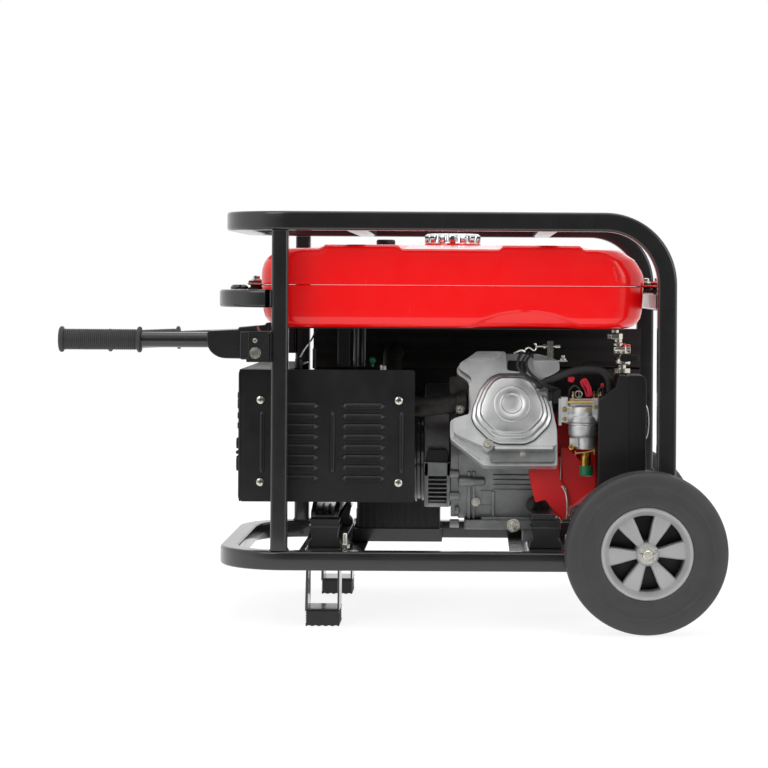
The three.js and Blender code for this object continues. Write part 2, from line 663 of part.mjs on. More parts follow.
// Cast guide around the head, as wide as the whole engine face.
function headShroud() {
  const outline = [
    [-4, 100], [84, 100], [100, 84], [122, 40], [124, 10], [131, -24], [131, -84], [12, -84], [-42, -40],
    [-42, -8],
    [-12, 0], [-12, 56], [-32, 70], [-32, 82],
  ];
  return prism("Y", outline, -HEAD_END, -HEAD_START - 4 - GAP);
}

const ROCKER_X = 61;
const BREATHER_START = ROCKER_X + 66;
const BREATHER_PORT = [-210, 27];
const rockerOutline = [
  [-22, 55], [20, 55], [36, 48], [48, 33], [61, 2], [64, -16], [58, -30], [36, -52], [22, -58], [-20, -58],
  [-36, -52], [-58, -30], [-64, -18], [-62, 0], [-50, 30], [-36, 48],
].map(([x, z]) => [ROCKER_X + x, z]);

function rockerCover() {
  const shrink = (by) => rockerOutline.map(([x, z]) => [ROCKER_X + (x - ROCKER_X) * by, z * by]);
  const steps = [[1, HEAD_END + GAP, HEAD_END + 6], [0.9, HEAD_END + 5, ROCKER_COVER_END - 8],
    [0.8, ROCKER_COVER_END - 9, ROCKER_COVER_END]];
  const nipple = rod("X", ROCKER_X + 40, BREATHER_START - GAP, 3.5, BREATHER_PORT, { sides: 12 });
  return join(nipple, ...steps.map(([by, near, far]) => prism("Y", shrink(by), -far, -near)));
}

place("cylinder_barrel", cylinderHead(), CAST_ALUMINIUM, cylinder);
place("cylinder_head_shroud", headShroud(), BRIGHT_ALUMINIUM, cylinder);
place("rocker_cover", rockerCover(), BRIGHT_ALUMINIUM, cylinder);

// Blower housing around the flywheel, open towards the engine, with a skirt that wraps the case.
function fanShroud() {
  const left = CASE_RIGHT + GAP + 4;
  const [r, t] = [SHROUD_RADIUS, SHROUD_SHEET];
  const profile = [
    [r, left], [r, SHROUD_RIGHT - 12], [r - 10, SHROUD_RIGHT], [RECOIL_RADIUS - 14, SHROUD_RIGHT],
    [RECOIL_RADIUS - 14, SHROUD_RIGHT - t], [r - 11, SHROUD_RIGHT - t], [r - t, SHROUD_RIGHT - 13],
    [r - t, left], [r, left],
  ];
  const skirtFront = barrelFoot[0] - 6;
  const skirt = prism("Y", [[84, 252], [left + 6, 258], [left + 6, 196], [94, 190]], skirtFront,
    skirtFront + t);
  const bridge = block(left, left + 6, skirtFront, SHAFT_Y - SHROUD_RADIUS + 6, 215, 258);
  return join(turned("X", profile, shaftCentre, 36), skirt, bridge);
}
place("fan_shroud", fanShroud(), DARK_RED_PLASTIC);

function recoilHousing() {
  const [a, b] = [SHROUD_RIGHT + GAP, SHROUD_RIGHT + RECOIL_DEPTH];
  const r = RECOIL_RADIUS;
  const profile = [[0, b], [r - 26, b], [r - 6, b - 14], [r, a], [r - 6, a], [r - 12, b - 20],
    [r - 30, b - 6], [0, b - 6]];
  const mouth = rod("X", b - 12, b + 1, 7, [SHAFT_Y, SHAFT_Z + 52], { sides: 12 });
  return cut(turned("X", profile, shaftCentre, 32), mouth);
}
place("recoil_housing", recoilHousing(), BLACK_PAINT);

// T-shaped pull with the knotted end of its rope inside the mouth.
function recoilGrip() {
  const face = SHROUD_RIGHT + RECOIL_DEPTH;
  const z = SHAFT_Z + 52;
  return join(
    block(face + 3, face + 17, SHAFT_Y - 26, SHAFT_Y + 26, z - 8, z + 8),
    rod("X", face - 4, face + 4, 5, [SHAFT_Y, z], { sides: 12 }),
  );
}
place("recoil_grip", recoilGrip(), RUBBER);

// One turning group: crankshaft, alternator rotor on its panel end and flywheel with blower vanes on its
// wheel end.
function crankAndRotor() {
  const rotorEnds = [STATOR_LEFT + 22, STATOR_RIGHT - 12];
  const flywheelEnds = [CASE_RIGHT + 22, SHROUD_RIGHT - 20];
  const shaft = rod("X", STATOR_LEFT + 6, SHROUD_RIGHT - 8, SHAFT_RADIUS, shaftCentre, { sides: 24 });
  const rotor = rod("X", ...rotorEnds, ROTOR_RADIUS, shaftCentre, { sides: 32 });
  const wheel = rod("X", flywheelEnds[0], flywheelEnds[0] + 26, FLYWHEEL_RADIUS, shaftCentre, { sides: 32 });
  const vanes = Array.from({ length: 8 }, (_, i) => {
    const turn = rad(45 * i);
    const [c, s] = [Math.cos(turn), Math.sin(turn)];
    const outline = [[52, -3], [FLYWHEEL_RADIUS - 2, -3], [FLYWHEEL_RADIUS - 2, 3], [52, 3]];
    const turnedOutline = outline.map(([a, b]) => [SHAFT_Y + a * c - b * s, SHAFT_Z + a * s + b * c]);
    return prism("X", turnedOutline, flywheelEnds[0] + 25, flywheelEnds[1]);
  });
  return join(shaft, rotor, wheel, ...vanes);
}
place("crankshaft_rotor_and_flywheel", crankAndRotor(), IRON);

// Stator in its steel can with the bearing end and the two feet that stand on the rubber mounts.
function alternatorBody() {
  const [a, b, r] = [STATOR_LEFT, STATOR_RIGHT, STATOR_RADIUS];
  const profile = [
    [0, a - 14], [r - 20, a - 14], [r, a], [r, b], [r - STATOR_WALL, b], [r - STATOR_WALL, a + 12],
    [0, a + 12],
  ];
  const feet = prism("X", [
    [-LEG_MIDDLE_Y + 6, MOUNT_TOP + GAP], [LEG_MIDDLE_Y - 6, MOUNT_TOP + GAP],
    [LEG_MIDDLE_Y - 6, MOUNT_TOP + 10],
    [SHAFT_Y + 70, SHAFT_Z - 60], [SHAFT_Y - 70, SHAFT_Z - 60], [-LEG_MIDDLE_Y + 6, MOUNT_TOP + 10],
  ], ALTERNATOR_MEMBER_X - 22, ALTERNATOR_MEMBER_X + 22);
  const can = turned("X", profile, shaftCentre, 32);
  const inside = rod("X", a + 12, b + 1, r - STATOR_WALL, shaftCentre, { sides: 32 });
  const bearing = rod("X", a, a + 13, SHAFT_RADIUS + 1, shaftCentre, { sides: 24 });
  return cut(join(can, feet), inside, bearing);
}
place("alternator_stator", alternatorBody(), CAST_ALUMINIUM);

// Slotted adapter between the stator and the crankcase.
function adapterBell() {
  const [a, b] = [STATOR_RIGHT + GAP, CASE_LEFT - GAP];
  const r = BELL_RADIUS;
  const profile = [[r, a], [r, b], [SHAFT_RADIUS + 2, b], [SHAFT_RADIUS + 2, b - 8], [r - 12, b - 8],
    [r - 12, a], [r, a]];
  const slots = Array.from({ length: 6 }, (_, i) => {
    const turn = rad(186 + 10.5 * i);
    const [c, s] = [Math.cos(turn), Math.sin(turn)];
    const outline = [[r - 16, -5], [r + 4, -5], [r + 4, 5], [r - 16, 5]];
    return prism("X", outline.map(([u, v]) => [SHAFT_Y + u * c - v * s, SHAFT_Z + u * s + v * c]), a + 9,
      b - 10);
  });
  return cut(turned("X", profile, shaftCentre, 36), ...slots);
}
place("alternator_adapter", adapterBell(), CAST_ALUMINIUM);

// ---------------------------------------------------------------- fuel, air and exhaust
const AIR_BOX = { left: 195, right: 271, front: -200, back: -100, bottom: 198, top: 400 };
const CARB_X = 170;
const CARB_Y = -158;
const CHOKE_PIVOT = [CARB_X + 14, 366];

function carburettor() {
  const centre = [CARB_X, CARB_Y];
  const airEnd = AIR_BOX.left - GAP;
  const [x, z] = CHOKE_PIVOT;
  const lug = cut(
    block(x - 7, x + 7, CARB_Y + 2, CARB_Y + 12, 349, z + 8),
    rod("Y", CARB_Y, CARB_Y + 13, 4 + GAP, CHOKE_PIVOT, { sides: 12 }),
  );
  return join(
    lug,
    block(CARB_X - 24, airEnd - 4, CARB_Y - 18, CARB_Y + 20, 312, 350),
    block(CASE_RIGHT + 3, CARB_X - 26, CARB_Y - 14, CARB_Y + 34, 312, 359),
    rod("X", CARB_X - 28, airEnd, 15, [CARB_Y, 332], { sides: 20 }),
    rod("Z", 286, 318, 23.5, centre, { sides: 28 }),
    rod("Z", 266, 287, 16, [CARB_X + 6, CARB_Y], { sides: 20 }),
    block(CARB_X - 16, CARB_X + 24, CARB_Y - 10, CARB_Y + 10, 257, 267),
    rod("Z", 235, 258, 8.8, [CARB_X + 5, CARB_Y], { sides: 16 }),
    rod("Z", 215, 236, 12.4, [CARB_X + 5, CARB_Y], { endRadius: 12.4, sides: 16 }),
  );
}
place("carburettor", carburettor(), CAST_ALUMINIUM);

function chokeLever() {
  const [x, z] = CHOKE_PIVOT;
  const paddle = [[x - 5, z - 4], [x + 5, z - 4], [x + 8, z + 14], [x + 2, z + 34], [x - 10, z + 30],
    [x - 9, z + 12]];
  return join(
    prism("Y", paddle, CARB_Y - 4, CARB_Y + 1),
    rod("Y", CARB_Y, CARB_Y + 11, 4, CHOKE_PIVOT, { sides: 12 }),
  );
}
place("choke_lever", chokeLever(), RED_PLASTIC);

function airCleaner() {
  const { left, right, front, back, bottom, top } = AIR_BOX;
  const outline = [
    [left, bottom], [right, bottom], [right, top - 12], [right - 10, top - 2], [left + 30, top],
    [left + 14, top - 16],
    [left, top - 44],
  ];
  return prism("Y", outline, front, back);
}
place("air_cleaner", airCleaner(), BLACK_PLASTIC);

const PIPE_RADIUS = 15;
const PIPE_X = -140;
const PIPE_TOP = 424;
const MUFFLER = { left: -282, right: 60, front: 126, back: 213, bottom: 332, top: 464 };
function muffler() {
  const { left, right, front, back, bottom, top } = MUFFLER;
  const corner = 24;
  const outer = prism("X", roundedRectangle(front, back, bottom, top, corner, 3), left, right);
  const [y0, y1, z0, z1] = [front + SHEET, back - SHEET, bottom + SHEET, top - SHEET];
  const inner = prism("X", roundedRectangle(y0, y1, z0, z1, corner - SHEET, 3), left + SHEET, right - SHEET);
  const inlet = rod("Y", front - 1, front + SHEET + 1, PIPE_RADIUS - SHEET, [PIPE_X, PIPE_TOP],
    { sides: 16 });
  // The bracket stands on a plate against the back of the crankcase.
  const near = CASE_BACK + GAP;
  const plate = block(5, 45, near, near + 4, 230, 350);
  const shelf = block(5, 45, near, front + 30, 346, 350);
  const outlet = rod("X", left - 22, left + SHEET + 1, 14, [(front + back) / 2, bottom + 40], { sides: 16 });
  const bore = rod("X", left - 23, left + SHEET + 2, 12, [(front + back) / 2, bottom + 40], { sides: 16 });
  return cut(join(outer, plate, shelf, outlet), inner, inlet, bore);
}
place("muffler", muffler(), BLACK_PAINT);

function exhaustPipe() {
  const corners = [
    [-16, -126, 352], [-100, -118, 344], [PIPE_X, -60, 372], [PIPE_X, -20, PIPE_TOP],
    [PIPE_X, MUFFLER.front - GAP, PIPE_TOP],
  ];
  return swept(roundSection(PIPE_RADIUS, 12), corners, 26, 4);
}
place("exhaust_pipe", exhaustPipe(), IRON);

// Sheet between the hot side and the tank, with a hole for the pipe.
function heatShield() {
  const back = MUFFLER.front - 4;
  const plate = block(MUFFLER.left, 255, back - SHEET, back, 396, 466);
  const pads = [MUFFLER.left + 20, MUFFLER.right - 20].map((x) =>
    rod("Y", back - 1, MUFFLER.front - GAP, 8, [x, 430], { sides: 12 }),
  );
  return cut(join(plate, ...pads),
    rod("Y", back - 10, back + 10, PIPE_RADIUS + 3, [PIPE_X, PIPE_TOP], { sides: 16 }));
}
place("heat_shield", heatShield(), BLACK_PAINT);

const VALVE_X = 236;
const VALVE_Y = -130;
function fuelValve() {
  const centre = [VALVE_X, VALVE_Y];
  return join(
    rod("Z", 452, TANK_BOTTOM - GAP, 7, centre, { sides: 14 }),
    rod("Z", 438, 453, 13, centre, { sides: 6 }),
    rod("Z", 408, 439, 9.5, centre, { sides: 16 }),
    rod("Y", VALVE_Y, VALVE_Y + 14, 5, [VALVE_X, 418], { sides: 12 }),
    rod("Y", VALVE_Y - 14, VALVE_Y, 8, [VALVE_X + 2, 424], { sides: 16 }),
  );
}
place("fuel_valve", fuelValve(), ZINC);

function fuelValveLever() {
  const y = VALVE_Y - 14 - GAP;
  return join(
    rod("Y", y - 5, y, 7, [VALVE_X + 2, 424], { sides: 16 }),
    block(VALVE_X + 2, VALVE_X + 24, y - 5, y - 1, 419, 429),
  );
}
place("fuel_valve_lever", fuelValveLever(), ZINC);

function fuelHose() {
  const y = AIR_BOX.back + 12;
  const inlet = CARB_Y + 20 + GAP;
  const corners = [[VALVE_X, VALVE_Y + 14 + GAP, 418], [VALVE_X, y, 418], [CARB_X, y, 418],
    [CARB_X, y, 336], [CARB_X, inlet, 336]];
  return swept(roundSection(4, 8), corners, 12, 4);
}
function breatherHose() {
  const [y, z] = onCylinder(-BREATHER_PORT[0], BREATHER_PORT[1]);
  const end = AIR_BOX.left + 12;
  const corners = [[BREATHER_START, y, z], [143, y, z], [152, y - 4, 409], [end, y - 4, 409],
    [end, y - 4, AIR_BOX.top - 11]];
  return swept(roundSection(5.5, 10), corners, 13, 4);
}
place("fuel_hose", fuelHose(), RUBBER);
place("breather_hose", breatherHose(), RUBBER);

const BATTERY = { left: ALTERNATOR_MEMBER_X + 35, right: ALTERNATOR_MEMBER_X + 179, front: 134, back: 214,
  bottom: 98, top: 200 };
function battery() {
  const { left, right, front, back, bottom, top } = BATTERY;
  const case_ = block(left, right, front, back, bottom, top);
  const posts = [left + 18, right - 18].map((x) =>
    rod("Z", top - 1, top + 9, 6, [x, front + 16], { sides: 12 }));
  return join(case_, ...posts);
}
// Tray with a low fence, hung from the inner face of the rear bottom rail.
function batteryTray() {
  const { left, right, front, bottom } = BATTERY;
  const top = bottom - GAP;
  const [l, r, back] = [left - 4, right + 4, HALF_TRACK - TUBE / 2 - GAP];
  const floor = block(l, r, front - 4, back, top - 3, top);
  return join(floor, block(l, r, front - 4, front - 1, top - 1, top + 20),
    block(l, r, back - 3, back, top - 1, top + 20));
}
place("battery", battery(), BLACK_PLASTIC);
place("battery_tray", batteryTray(), BLACK_PAINT);

// ---------------------------------------------------------------- control end
// Box behind the panel, open towards the alternator.
function controlBox() {
  const [l, r, w] = [PANEL_X + SHEET + GAP, BOX_RIGHT, BOX_HALF_WIDTH];
  const outer = block(l, r, -w + SHEET + GAP, w, BOX_BOTTOM, BOX_TOP);
  const inner = block(l - 1, r + 1, -w + SHEET * 2 + GAP, w - SHEET, BOX_BOTTOM + SHEET, BOX_TOP - SHEET);
  return cut(outer, inner);
}

// Louvred plate over the alternator's carburettor side.
function sideCover() {
  const plate = block(PANEL_X + SHEET + GAP, COVER_RIGHT, -BOX_HALF_WIDTH, -BOX_HALF_WIDTH + SHEET,
    BOX_BOTTOM, BOX_TOP);
  const flange = block(COVER_RIGHT - SHEET, COVER_RIGHT, -BOX_HALF_WIDTH, -BOX_HALF_WIDTH + 16,
    BOX_BOTTOM + 4, BOX_TOP - 4);
  return join(plate, flange);
}

const KEY = { y: -60, z: 350 };
const BREAKER = { y: 40, z: 350 };
const OUTLETS_Y = [-150, -60, 30, 120];
function controlPanel() {
  const w = BOX_HALF_WIDTH;
  const plate = block(PANEL_X, PANEL_X + SHEET, -w, w, BOX_BOTTOM, BOX_TOP);
  const outlets = OUTLETS_Y.flatMap((y) =>
    [[276, 293], [240, 264]].map(([low, high]) => block(PANEL_X - 7, PANEL_X + 1, y - 24, y + 24, low, high)),
  );
  const holes = [KEY, BREAKER].map(({ y, z }) =>
    rod("X", PANEL_X - 1, PANEL_X + 3, 6, [y, z], { sides: 16 }));
  return cut(join(plate, ...outlets), ...holes);
}

function engineSwitch() {
  return join(
    rod("X", PANEL_X - 6, PANEL_X - GAP, 14, [KEY.y, KEY.z], { sides: 20 }),
    rod("X", PANEL_X - 1, PANEL_X + 12, 5.5, [KEY.y, KEY.z], { sides: 16 }),
    block(PANEL_X - 16, PANEL_X - 5, KEY.y - 2, KEY.y + 2, KEY.z - 9, KEY.z + 9),
  );
}

function breakerButton() {
  const back = PANEL_X + SHEET + GAP;
  return join(
    rod("X", PANEL_X - 6, back + 10, 5.5, [BREAKER.y, BREAKER.z], { sides: 16 }),
    rod("X", back, back + 4, 8, [BREAKER.y, BREAKER.z], { sides: 16 }),
  );
}

place("control_box", controlBox(), BLACK_PAINT);
place("alternator_side_cover", sideCover(), BLACK_PAINT);
place("control_panel", controlPanel(), BLACK_PLASTIC);
place("engine_switch", engineSwitch(), BLACK_PLASTIC);
place("breaker_button", breakerButton(), RED_PLASTIC);

// The origin goes to the floor below the middle of the whole machine, grips to tyres.
const gripEnd = PIVOT_X - HANDLE_LENGTH;
const tyreEdge = WHEEL_X + WHEEL_RADIUS;
generator.position.x = -(gripEnd + tyreEdge) / 2;

export default generator;
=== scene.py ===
# %% [markdown]
# # A portable generator, dressed over its working frame
#
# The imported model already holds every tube, shaft and casing at its real size and place. This lesson
# keeps those places and rebuilds what the eye meets: rolled tube corners, pressed sheet, castings, rubber
# and paint. Every length below is in millimetres until the moment a mesh is made.

import math

import bmesh
import bpy
from mathutils import Matrix, Vector


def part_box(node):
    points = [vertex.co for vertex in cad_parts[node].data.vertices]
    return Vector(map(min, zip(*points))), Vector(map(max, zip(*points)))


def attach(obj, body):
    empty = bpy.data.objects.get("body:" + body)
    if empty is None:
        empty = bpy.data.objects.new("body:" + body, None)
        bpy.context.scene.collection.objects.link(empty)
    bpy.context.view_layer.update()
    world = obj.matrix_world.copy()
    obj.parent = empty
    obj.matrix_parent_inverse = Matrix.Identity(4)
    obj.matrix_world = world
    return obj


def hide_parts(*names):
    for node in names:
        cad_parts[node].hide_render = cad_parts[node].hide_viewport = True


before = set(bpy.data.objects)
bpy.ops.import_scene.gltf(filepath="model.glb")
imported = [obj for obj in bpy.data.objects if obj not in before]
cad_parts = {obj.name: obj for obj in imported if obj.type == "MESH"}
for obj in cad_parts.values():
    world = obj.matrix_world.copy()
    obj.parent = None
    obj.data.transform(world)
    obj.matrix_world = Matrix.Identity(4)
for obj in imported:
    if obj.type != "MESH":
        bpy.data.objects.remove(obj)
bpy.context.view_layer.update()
MM = 0.001

# %% [markdown]
# ## Reading places from the frame
#
# A new part must sit exactly where the working model has it, so nothing is placed by eye. `span` gives
# the lowest and highest corner of a node, and `middle` its centre; the lengths that follow are a maker's
# own sizes.

# %% Places


def span(node):
    low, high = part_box(node)
    return low / MM, high / MM


def middle(node):
    low, high = span(node)
    return (low + high) / 2


SIDES = (("front", -1), ("rear", 1))  # front is the carburettor side, -Y
CRADLE_X = middle("axle").x - 265  # the middle of the cradle, from which lengths along X are measured
print("axle at", [round(v) for v in middle("axle")])

# %% [markdown]
# ## A small kit of shells
#
# A workshop has few ways to form metal: it is turned, extruded, bent along a path, or pressed between two
# shapes. Four functions stand for those. Each gives a shell, a list of points and a list of faces, so
# that a piece can be several shells welded together, as a real weldment is.

# %% Turned, extruded and lofted shells


def axes_for(axis):
    """The two directions across an axis and the one along it."""
    order = {"X": (1, 2, 0), "Y": (2, 0, 1), "Z": (0, 1, 2)}[axis]
    return [Vector([float(i == k) for i in range(3)]) for k in order]


def bridged(rings, closed=True, caps=True):
    """Faces between rings of the same number of points, with the two end rings closed by flat caps."""
    count = len(rings[0])
    points = [p for ring in rings for p in ring]
    faces = []
    for r in range(len(rings) - 1):
        for i in range(count if closed else count - 1):
            j = (i + 1) % count
            faces.append((r * count + i, r * count + j, (r + 1) * count + j, (r + 1) * count + i))
    if caps:
        faces.append(tuple(range(count)))
        faces.append(tuple(range(len(points) - count, len(points))))
    return points, faces


def turned(axis, profile, centre, sides=64, loop=False):
    """A lathe shell. profile holds (radius, distance from centre along the axis) pairs."""
    across, up, along = axes_for(axis)
    start = Vector(centre)
    rings = []
    for radius, station in profile + (profile[:1] if loop else []):
        angles = [2 * math.pi * i / sides for i in range(sides)]
        ring = [start + along * station + (across * math.cos(a) + up * math.sin(a)) * radius
                for a in angles]
        rings.append(ring)
    return bridged(rings, caps=False)


def rod(axis, radius, start, end, centre, sides):
    """A plain round bar, its ends given as distances from centre along the axis."""
    return turned(axis, [(0, start), (radius, start), (radius, end), (0, end)], centre, sides)


def collar(axis, bore, radius, start, end, centre, sides):
    """A plain ring or washer."""
    ring = [(bore, start), (radius, start), (radius, end), (bore, end)]
    return turned(axis, ring, centre, sides, loop=True)


def extruded(axis, outline, start, end):
    """A flat outline given in the two other coordinates, in X, Y, Z order, pulled from start to end."""
    def at(p, s):
        a, b = p
        return Vector({"X": (s, a, b), "Y": (a, s, b), "Z": (a, b, s)}[axis])
    return bridged([[at(p, start) for p in outline], [at(p, end) for p in outline]])


def brick(low, high):
    """A square-edged block between its lowest and highest corners."""
    outline = [(low[0], low[1]), (high[0], low[1]), (high[0], high[1]), (low[0], high[1])]
    return extruded("Z", outline, low[2], high[2])


def bricks(*corners):
    """Several blocks, each given as its low and high corner."""
    return [brick(low, high) for low, high in corners]


def rounded(x0, x1, y0, y1, radius, steps=6):
    """A rectangle's outline with round corners."""
    corners = [(x1 - radius, y1 - radius), (x0 + radius, y1 - radius), (x0 + radius, y0 + radius),
               (x1 - radius, y0 + radius)]
    outline = []
    for quarter, (x, y) in enumerate(corners):
        for i in range(steps + 1):
            a = (quarter + i / steps) * math.pi / 2
            outline.append((x + radius * math.cos(a), y + radius * math.sin(a)))
    return outline


def circle(radius, sides=24):
    angles = [2 * math.pi * i / sides for i in range(sides)]
    return [(radius * math.cos(a), radius * math.sin(a)) for a in angles]


# %% [markdown]
# A bent tube keeps its section square to its path. The frame is carried from one station to the next by the
# smallest turn that fits, so the tube never twists, whichever plane the next bend lies in.

# %% Swept shells


def filleted(corners, radius, steps=12):
    """A path through corner points with each corner rounded."""
    corners = [Vector(c) for c in corners]
    path = [corners[0]]
    for before, corner, after in zip(corners, corners[1:], corners[2:]):
        arriving, leaving = (corner - before).normalized(), (after - corner).normalized()
        turn = arriving.angle(leaving)
        axis = arriving.cross(leaving).normalized()
        start = corner - arriving * radius * math.tan(turn / 2)
        centre = start + axis.cross(arriving) * radius
        for i in range(steps + 1):
            path.append(centre + Matrix.Rotation(turn * i / steps, 3, axis) @ (start - centre))
    return path + [corners[-1]]


def eased(points, steps=8):
    """A smooth path through every point, as a hose or a wire takes it."""
    pts = [Vector(p) for p in points]
    pts = [pts[0] * 2 - pts[1]] + pts + [pts[-1] * 2 - pts[-2]]
    path = []
    for a, b, c, d in zip(pts, pts[1:], pts[2:], pts[3:]):
        for i in range(steps):
            t = i / steps
            bend, curl = 2 * a - 5 * b + 4 * c - d, 3 * b - a - 3 * c + d
            path.append(0.5 * (2 * b + (c - a) * t + bend * t * t + curl * t ** 3))
    return path + [pts[-2]]


def swept(section, path, up=(0, 0, 1)):
    """A section drawn along a path. section's points are (across, up); path is a list of points."""
    tangents = []
    for i, point in enumerate(path):
        before, after = path[max(i - 1, 0)], path[min(i + 1, len(path) - 1)]
        tangents.append(((point - before).normalized() + (after - point).normalized()).normalized())
    rise = Vector(up)
    if abs(rise.dot(tangents[0])) > 0.9:
        rise = Vector((1, 0, 0))
    rings = []
    for point, tangent in zip(path, tangents):
        rise = (rise - tangent * rise.dot(tangent)).normalized()
        across = tangent.cross(rise)
        rings.append([point + across * a + rise * b for a, b in section])
    return bridged(rings)


def hose(points, radius, sides=16, smooth=8):
    """A round hose or wire through points."""
    return swept(circle(radius, sides), eased(points, smooth))


def changed(shells, matrix):
    """The same shells, moved or turned by a matrix."""
    return [([matrix @ p for p in points], faces) for points, faces in shells]


# %% [markdown]
# ## From shells to a finished piece
#
# `piece` welds the shells, points every face outwards and rounds the sharp edges a little: real edges are
# never perfectly sharp, and the thin highlight they carry is most of what makes metal look like metal. It
# then ties the piece to its moving body, names the finish it takes, and hides the plain solid that it
# stands for.

# %% Make a piece
SAME_POINT = 0.01  # mm: points nearer than this are one
made_here = []  # the pieces made since the last count


def piece(name, shells, finish, body="machine", hides=None, edge=0.6, crease=32):
    """Welds shells to one mesh; edge is the rounding in mm, crease the angle from which an edge is sharp."""
    points, faces = [], []
    for shell_points, shell_faces in shells:
        faces += [tuple(i + len(points) for i in face) for face in shell_faces]
        points += shell_points
    mesh = bpy.data.meshes.new(name)
    mesh.from_pydata([p * MM for p in points], [], faces)
    work = bmesh.new()
    work.from_mesh(mesh)
    bmesh.ops.remove_doubles(work, verts=work.verts, dist=SAME_POINT * MM)
    bmesh.ops.dissolve_degenerate(work, edges=work.edges, dist=SAME_POINT / 2 * MM)
    bmesh.ops.recalc_face_normals(work, faces=work.faces)
    work.to_mesh(mesh)
    work.free()
    mesh.shade_smooth()
    mesh.set_sharp_from_angle(angle=math.radians(crease))
    made = bpy.data.objects.new(name, mesh)
    bpy.context.scene.collection.objects.link(made)
    mesh.materials.append(finish)
    if edge:
        bevel = made.modifiers.new("rounded_edges", "BEVEL")
        bevel.width = edge * MM
        bevel.segments = 3
        bevel.limit_method = "ANGLE"
        bevel.angle_limit = math.radians(crease)
        bevel.harden_normals = True
    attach(made, body)
    if hides:
        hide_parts(hides)
    made_here.append(made)
    return made


def fitted(name, shells, *finish_and_body, **more):
    """A piece drawn with lengths along the cradle, set down at the cradle's place."""
    return piece(name, changed(shells, Matrix.Translation((CRADLE_X, 0, 0))), *finish_and_body, **more)


def count(what):
    """Prints what a cell made."""
    print(f"{what}: {len(made_here)} pieces, {sum(len(m.data.vertices) for m in made_here)} points")
    made_here.clear()


# %% [markdown]
# ## Camera and studio
#
# The machine stands on a white cyclorama and is seen square from the side through a long lens, a little
# above the middle of its height. The lens axis stays level and the picture is framed with lens shift, as
# a product studio does to keep uprights upright.

# %% Camera
LENS = 107.7
CAMERA_DISTANCE = 3.852
CAMERA_HEIGHT = 0.5416
AXIS_FROM_AXLE = 0.265  # the lens axis meets the machine this far on the panel side of the axle
CAMERA_ROLL = 0.34  # degrees, the small tilt of a hand-levelled tripod

camera_data = bpy.data.cameras.new("studio_camera")
camera_data.lens = LENS
camera_data.sensor_width = 36
camera_data.shift_x, camera_data.shift_y = -0.121, -0.130
camera_data.clip_end = 100
camera = bpy.data.objects.new("studio_camera", camera_data)
camera.location = (middle("axle").x * MM - AXIS_FROM_AXLE, -CAMERA_DISTANCE, CAMERA_HEIGHT)
level = Matrix.Rotation(math.radians(90), 4, "X")
roll = Matrix.Rotation(math.radians(CAMERA_ROLL), 4, "Z")
camera.matrix_world = Matrix.Translation(camera.location) @ level @ roll
bpy.context.scene.collection.objects.link(camera)
bpy.context.scene.camera = camera
print("camera at", [round(v, 3) for v in camera.location])

# %% [markdown]
# Colours go through one function, because a shader works with linear light while a paint chip is read in
# sRGB. The one helper for nodes sets a node's values and joins its inputs, which is all that any recipe
# needs.

# %% Colour and node helpers
bpy.context.scene.view_settings.view_transform = "Standard"


def linear(hex_colour, alpha=1.0):
    """An sRGB hex colour as the linear values a shader takes."""
    channels = [int(hex_colour[i:i + 2], 16) / 255 for i in (1, 3, 5)]
    return tuple(c / 12.92 if c <= 0.04045 else ((c + 0.055) / 1.055) ** 2.4 for c in channels) + (alpha,)


def add(tree, kind, settings=None, links=None):
    """Adds a node; settings are inputs or properties of its own, links join its inputs to other outputs."""
    node = tree.nodes.new(kind)
    for key, value in (settings or {}).items():
        if isinstance(key, str) and hasattr(node, key):
            setattr(node, key, value)
        else:
            node.inputs[key].default_value = value
    for key, source in (links or {}).items():
        tree.links.new(source, node.inputs[key])
    return node


# %% [markdown]
# Four softboxes light the machine: a strong key at the left, a weaker fill at the right, one overhead to
# draw the top rails, and one behind to part the dark frame from the wall. The white room adds the rest.
# Glossy black paint would mirror a white room and turn grey, so a studio hangs a black flag behind
# the camera: here the world gives mirrored rays almost nothing from straight behind the camera and more
# and more towards the sides. The paper on the floor glows a little, so that it stays white under the
# machine, and stops short in front.

# %% Studio
WALL = 1.0  # how bright the room is to the eye
SPILL = 0.62  # and as light that falls on the machine
FLAG, BARE_WALL = 0.05, 0.95  # and as a mirror image: at the flag, and past its edge
FLOOR_GLOW = 0.85
REACH, FRONT_EDGE = 14.0, -1.5  # metres: the floor runs far past the view, and stops short in front
LIGHTS = (  # name, place, size, watts: all aim at the middle of the machine
    ("key_softbox", (-1.9, -2.6, 2.2), 1.6, 26),
    ("fill_softbox", (2.3, -2.4, 1.3), 1.4, 14),
    ("top_softbox", (0.2, -0.3, 3.0), 2.2, 16),
    ("back_softbox", (0.3, 3.2, 2.2), 2.4, 14),
)
AIM = Vector((0, 0, 0.35))
for name, place, size, watts in LIGHTS:
    data = bpy.data.lights.new(name, "AREA")
    data.energy, data.size = watts, size
    light = bpy.data.objects.new(name, data)
    light.location = place
    light.rotation_euler = (AIM - Vector(place)).to_track_quat("-Z", "Y").to_euler()
    bpy.context.scene.collection.objects.link(light)

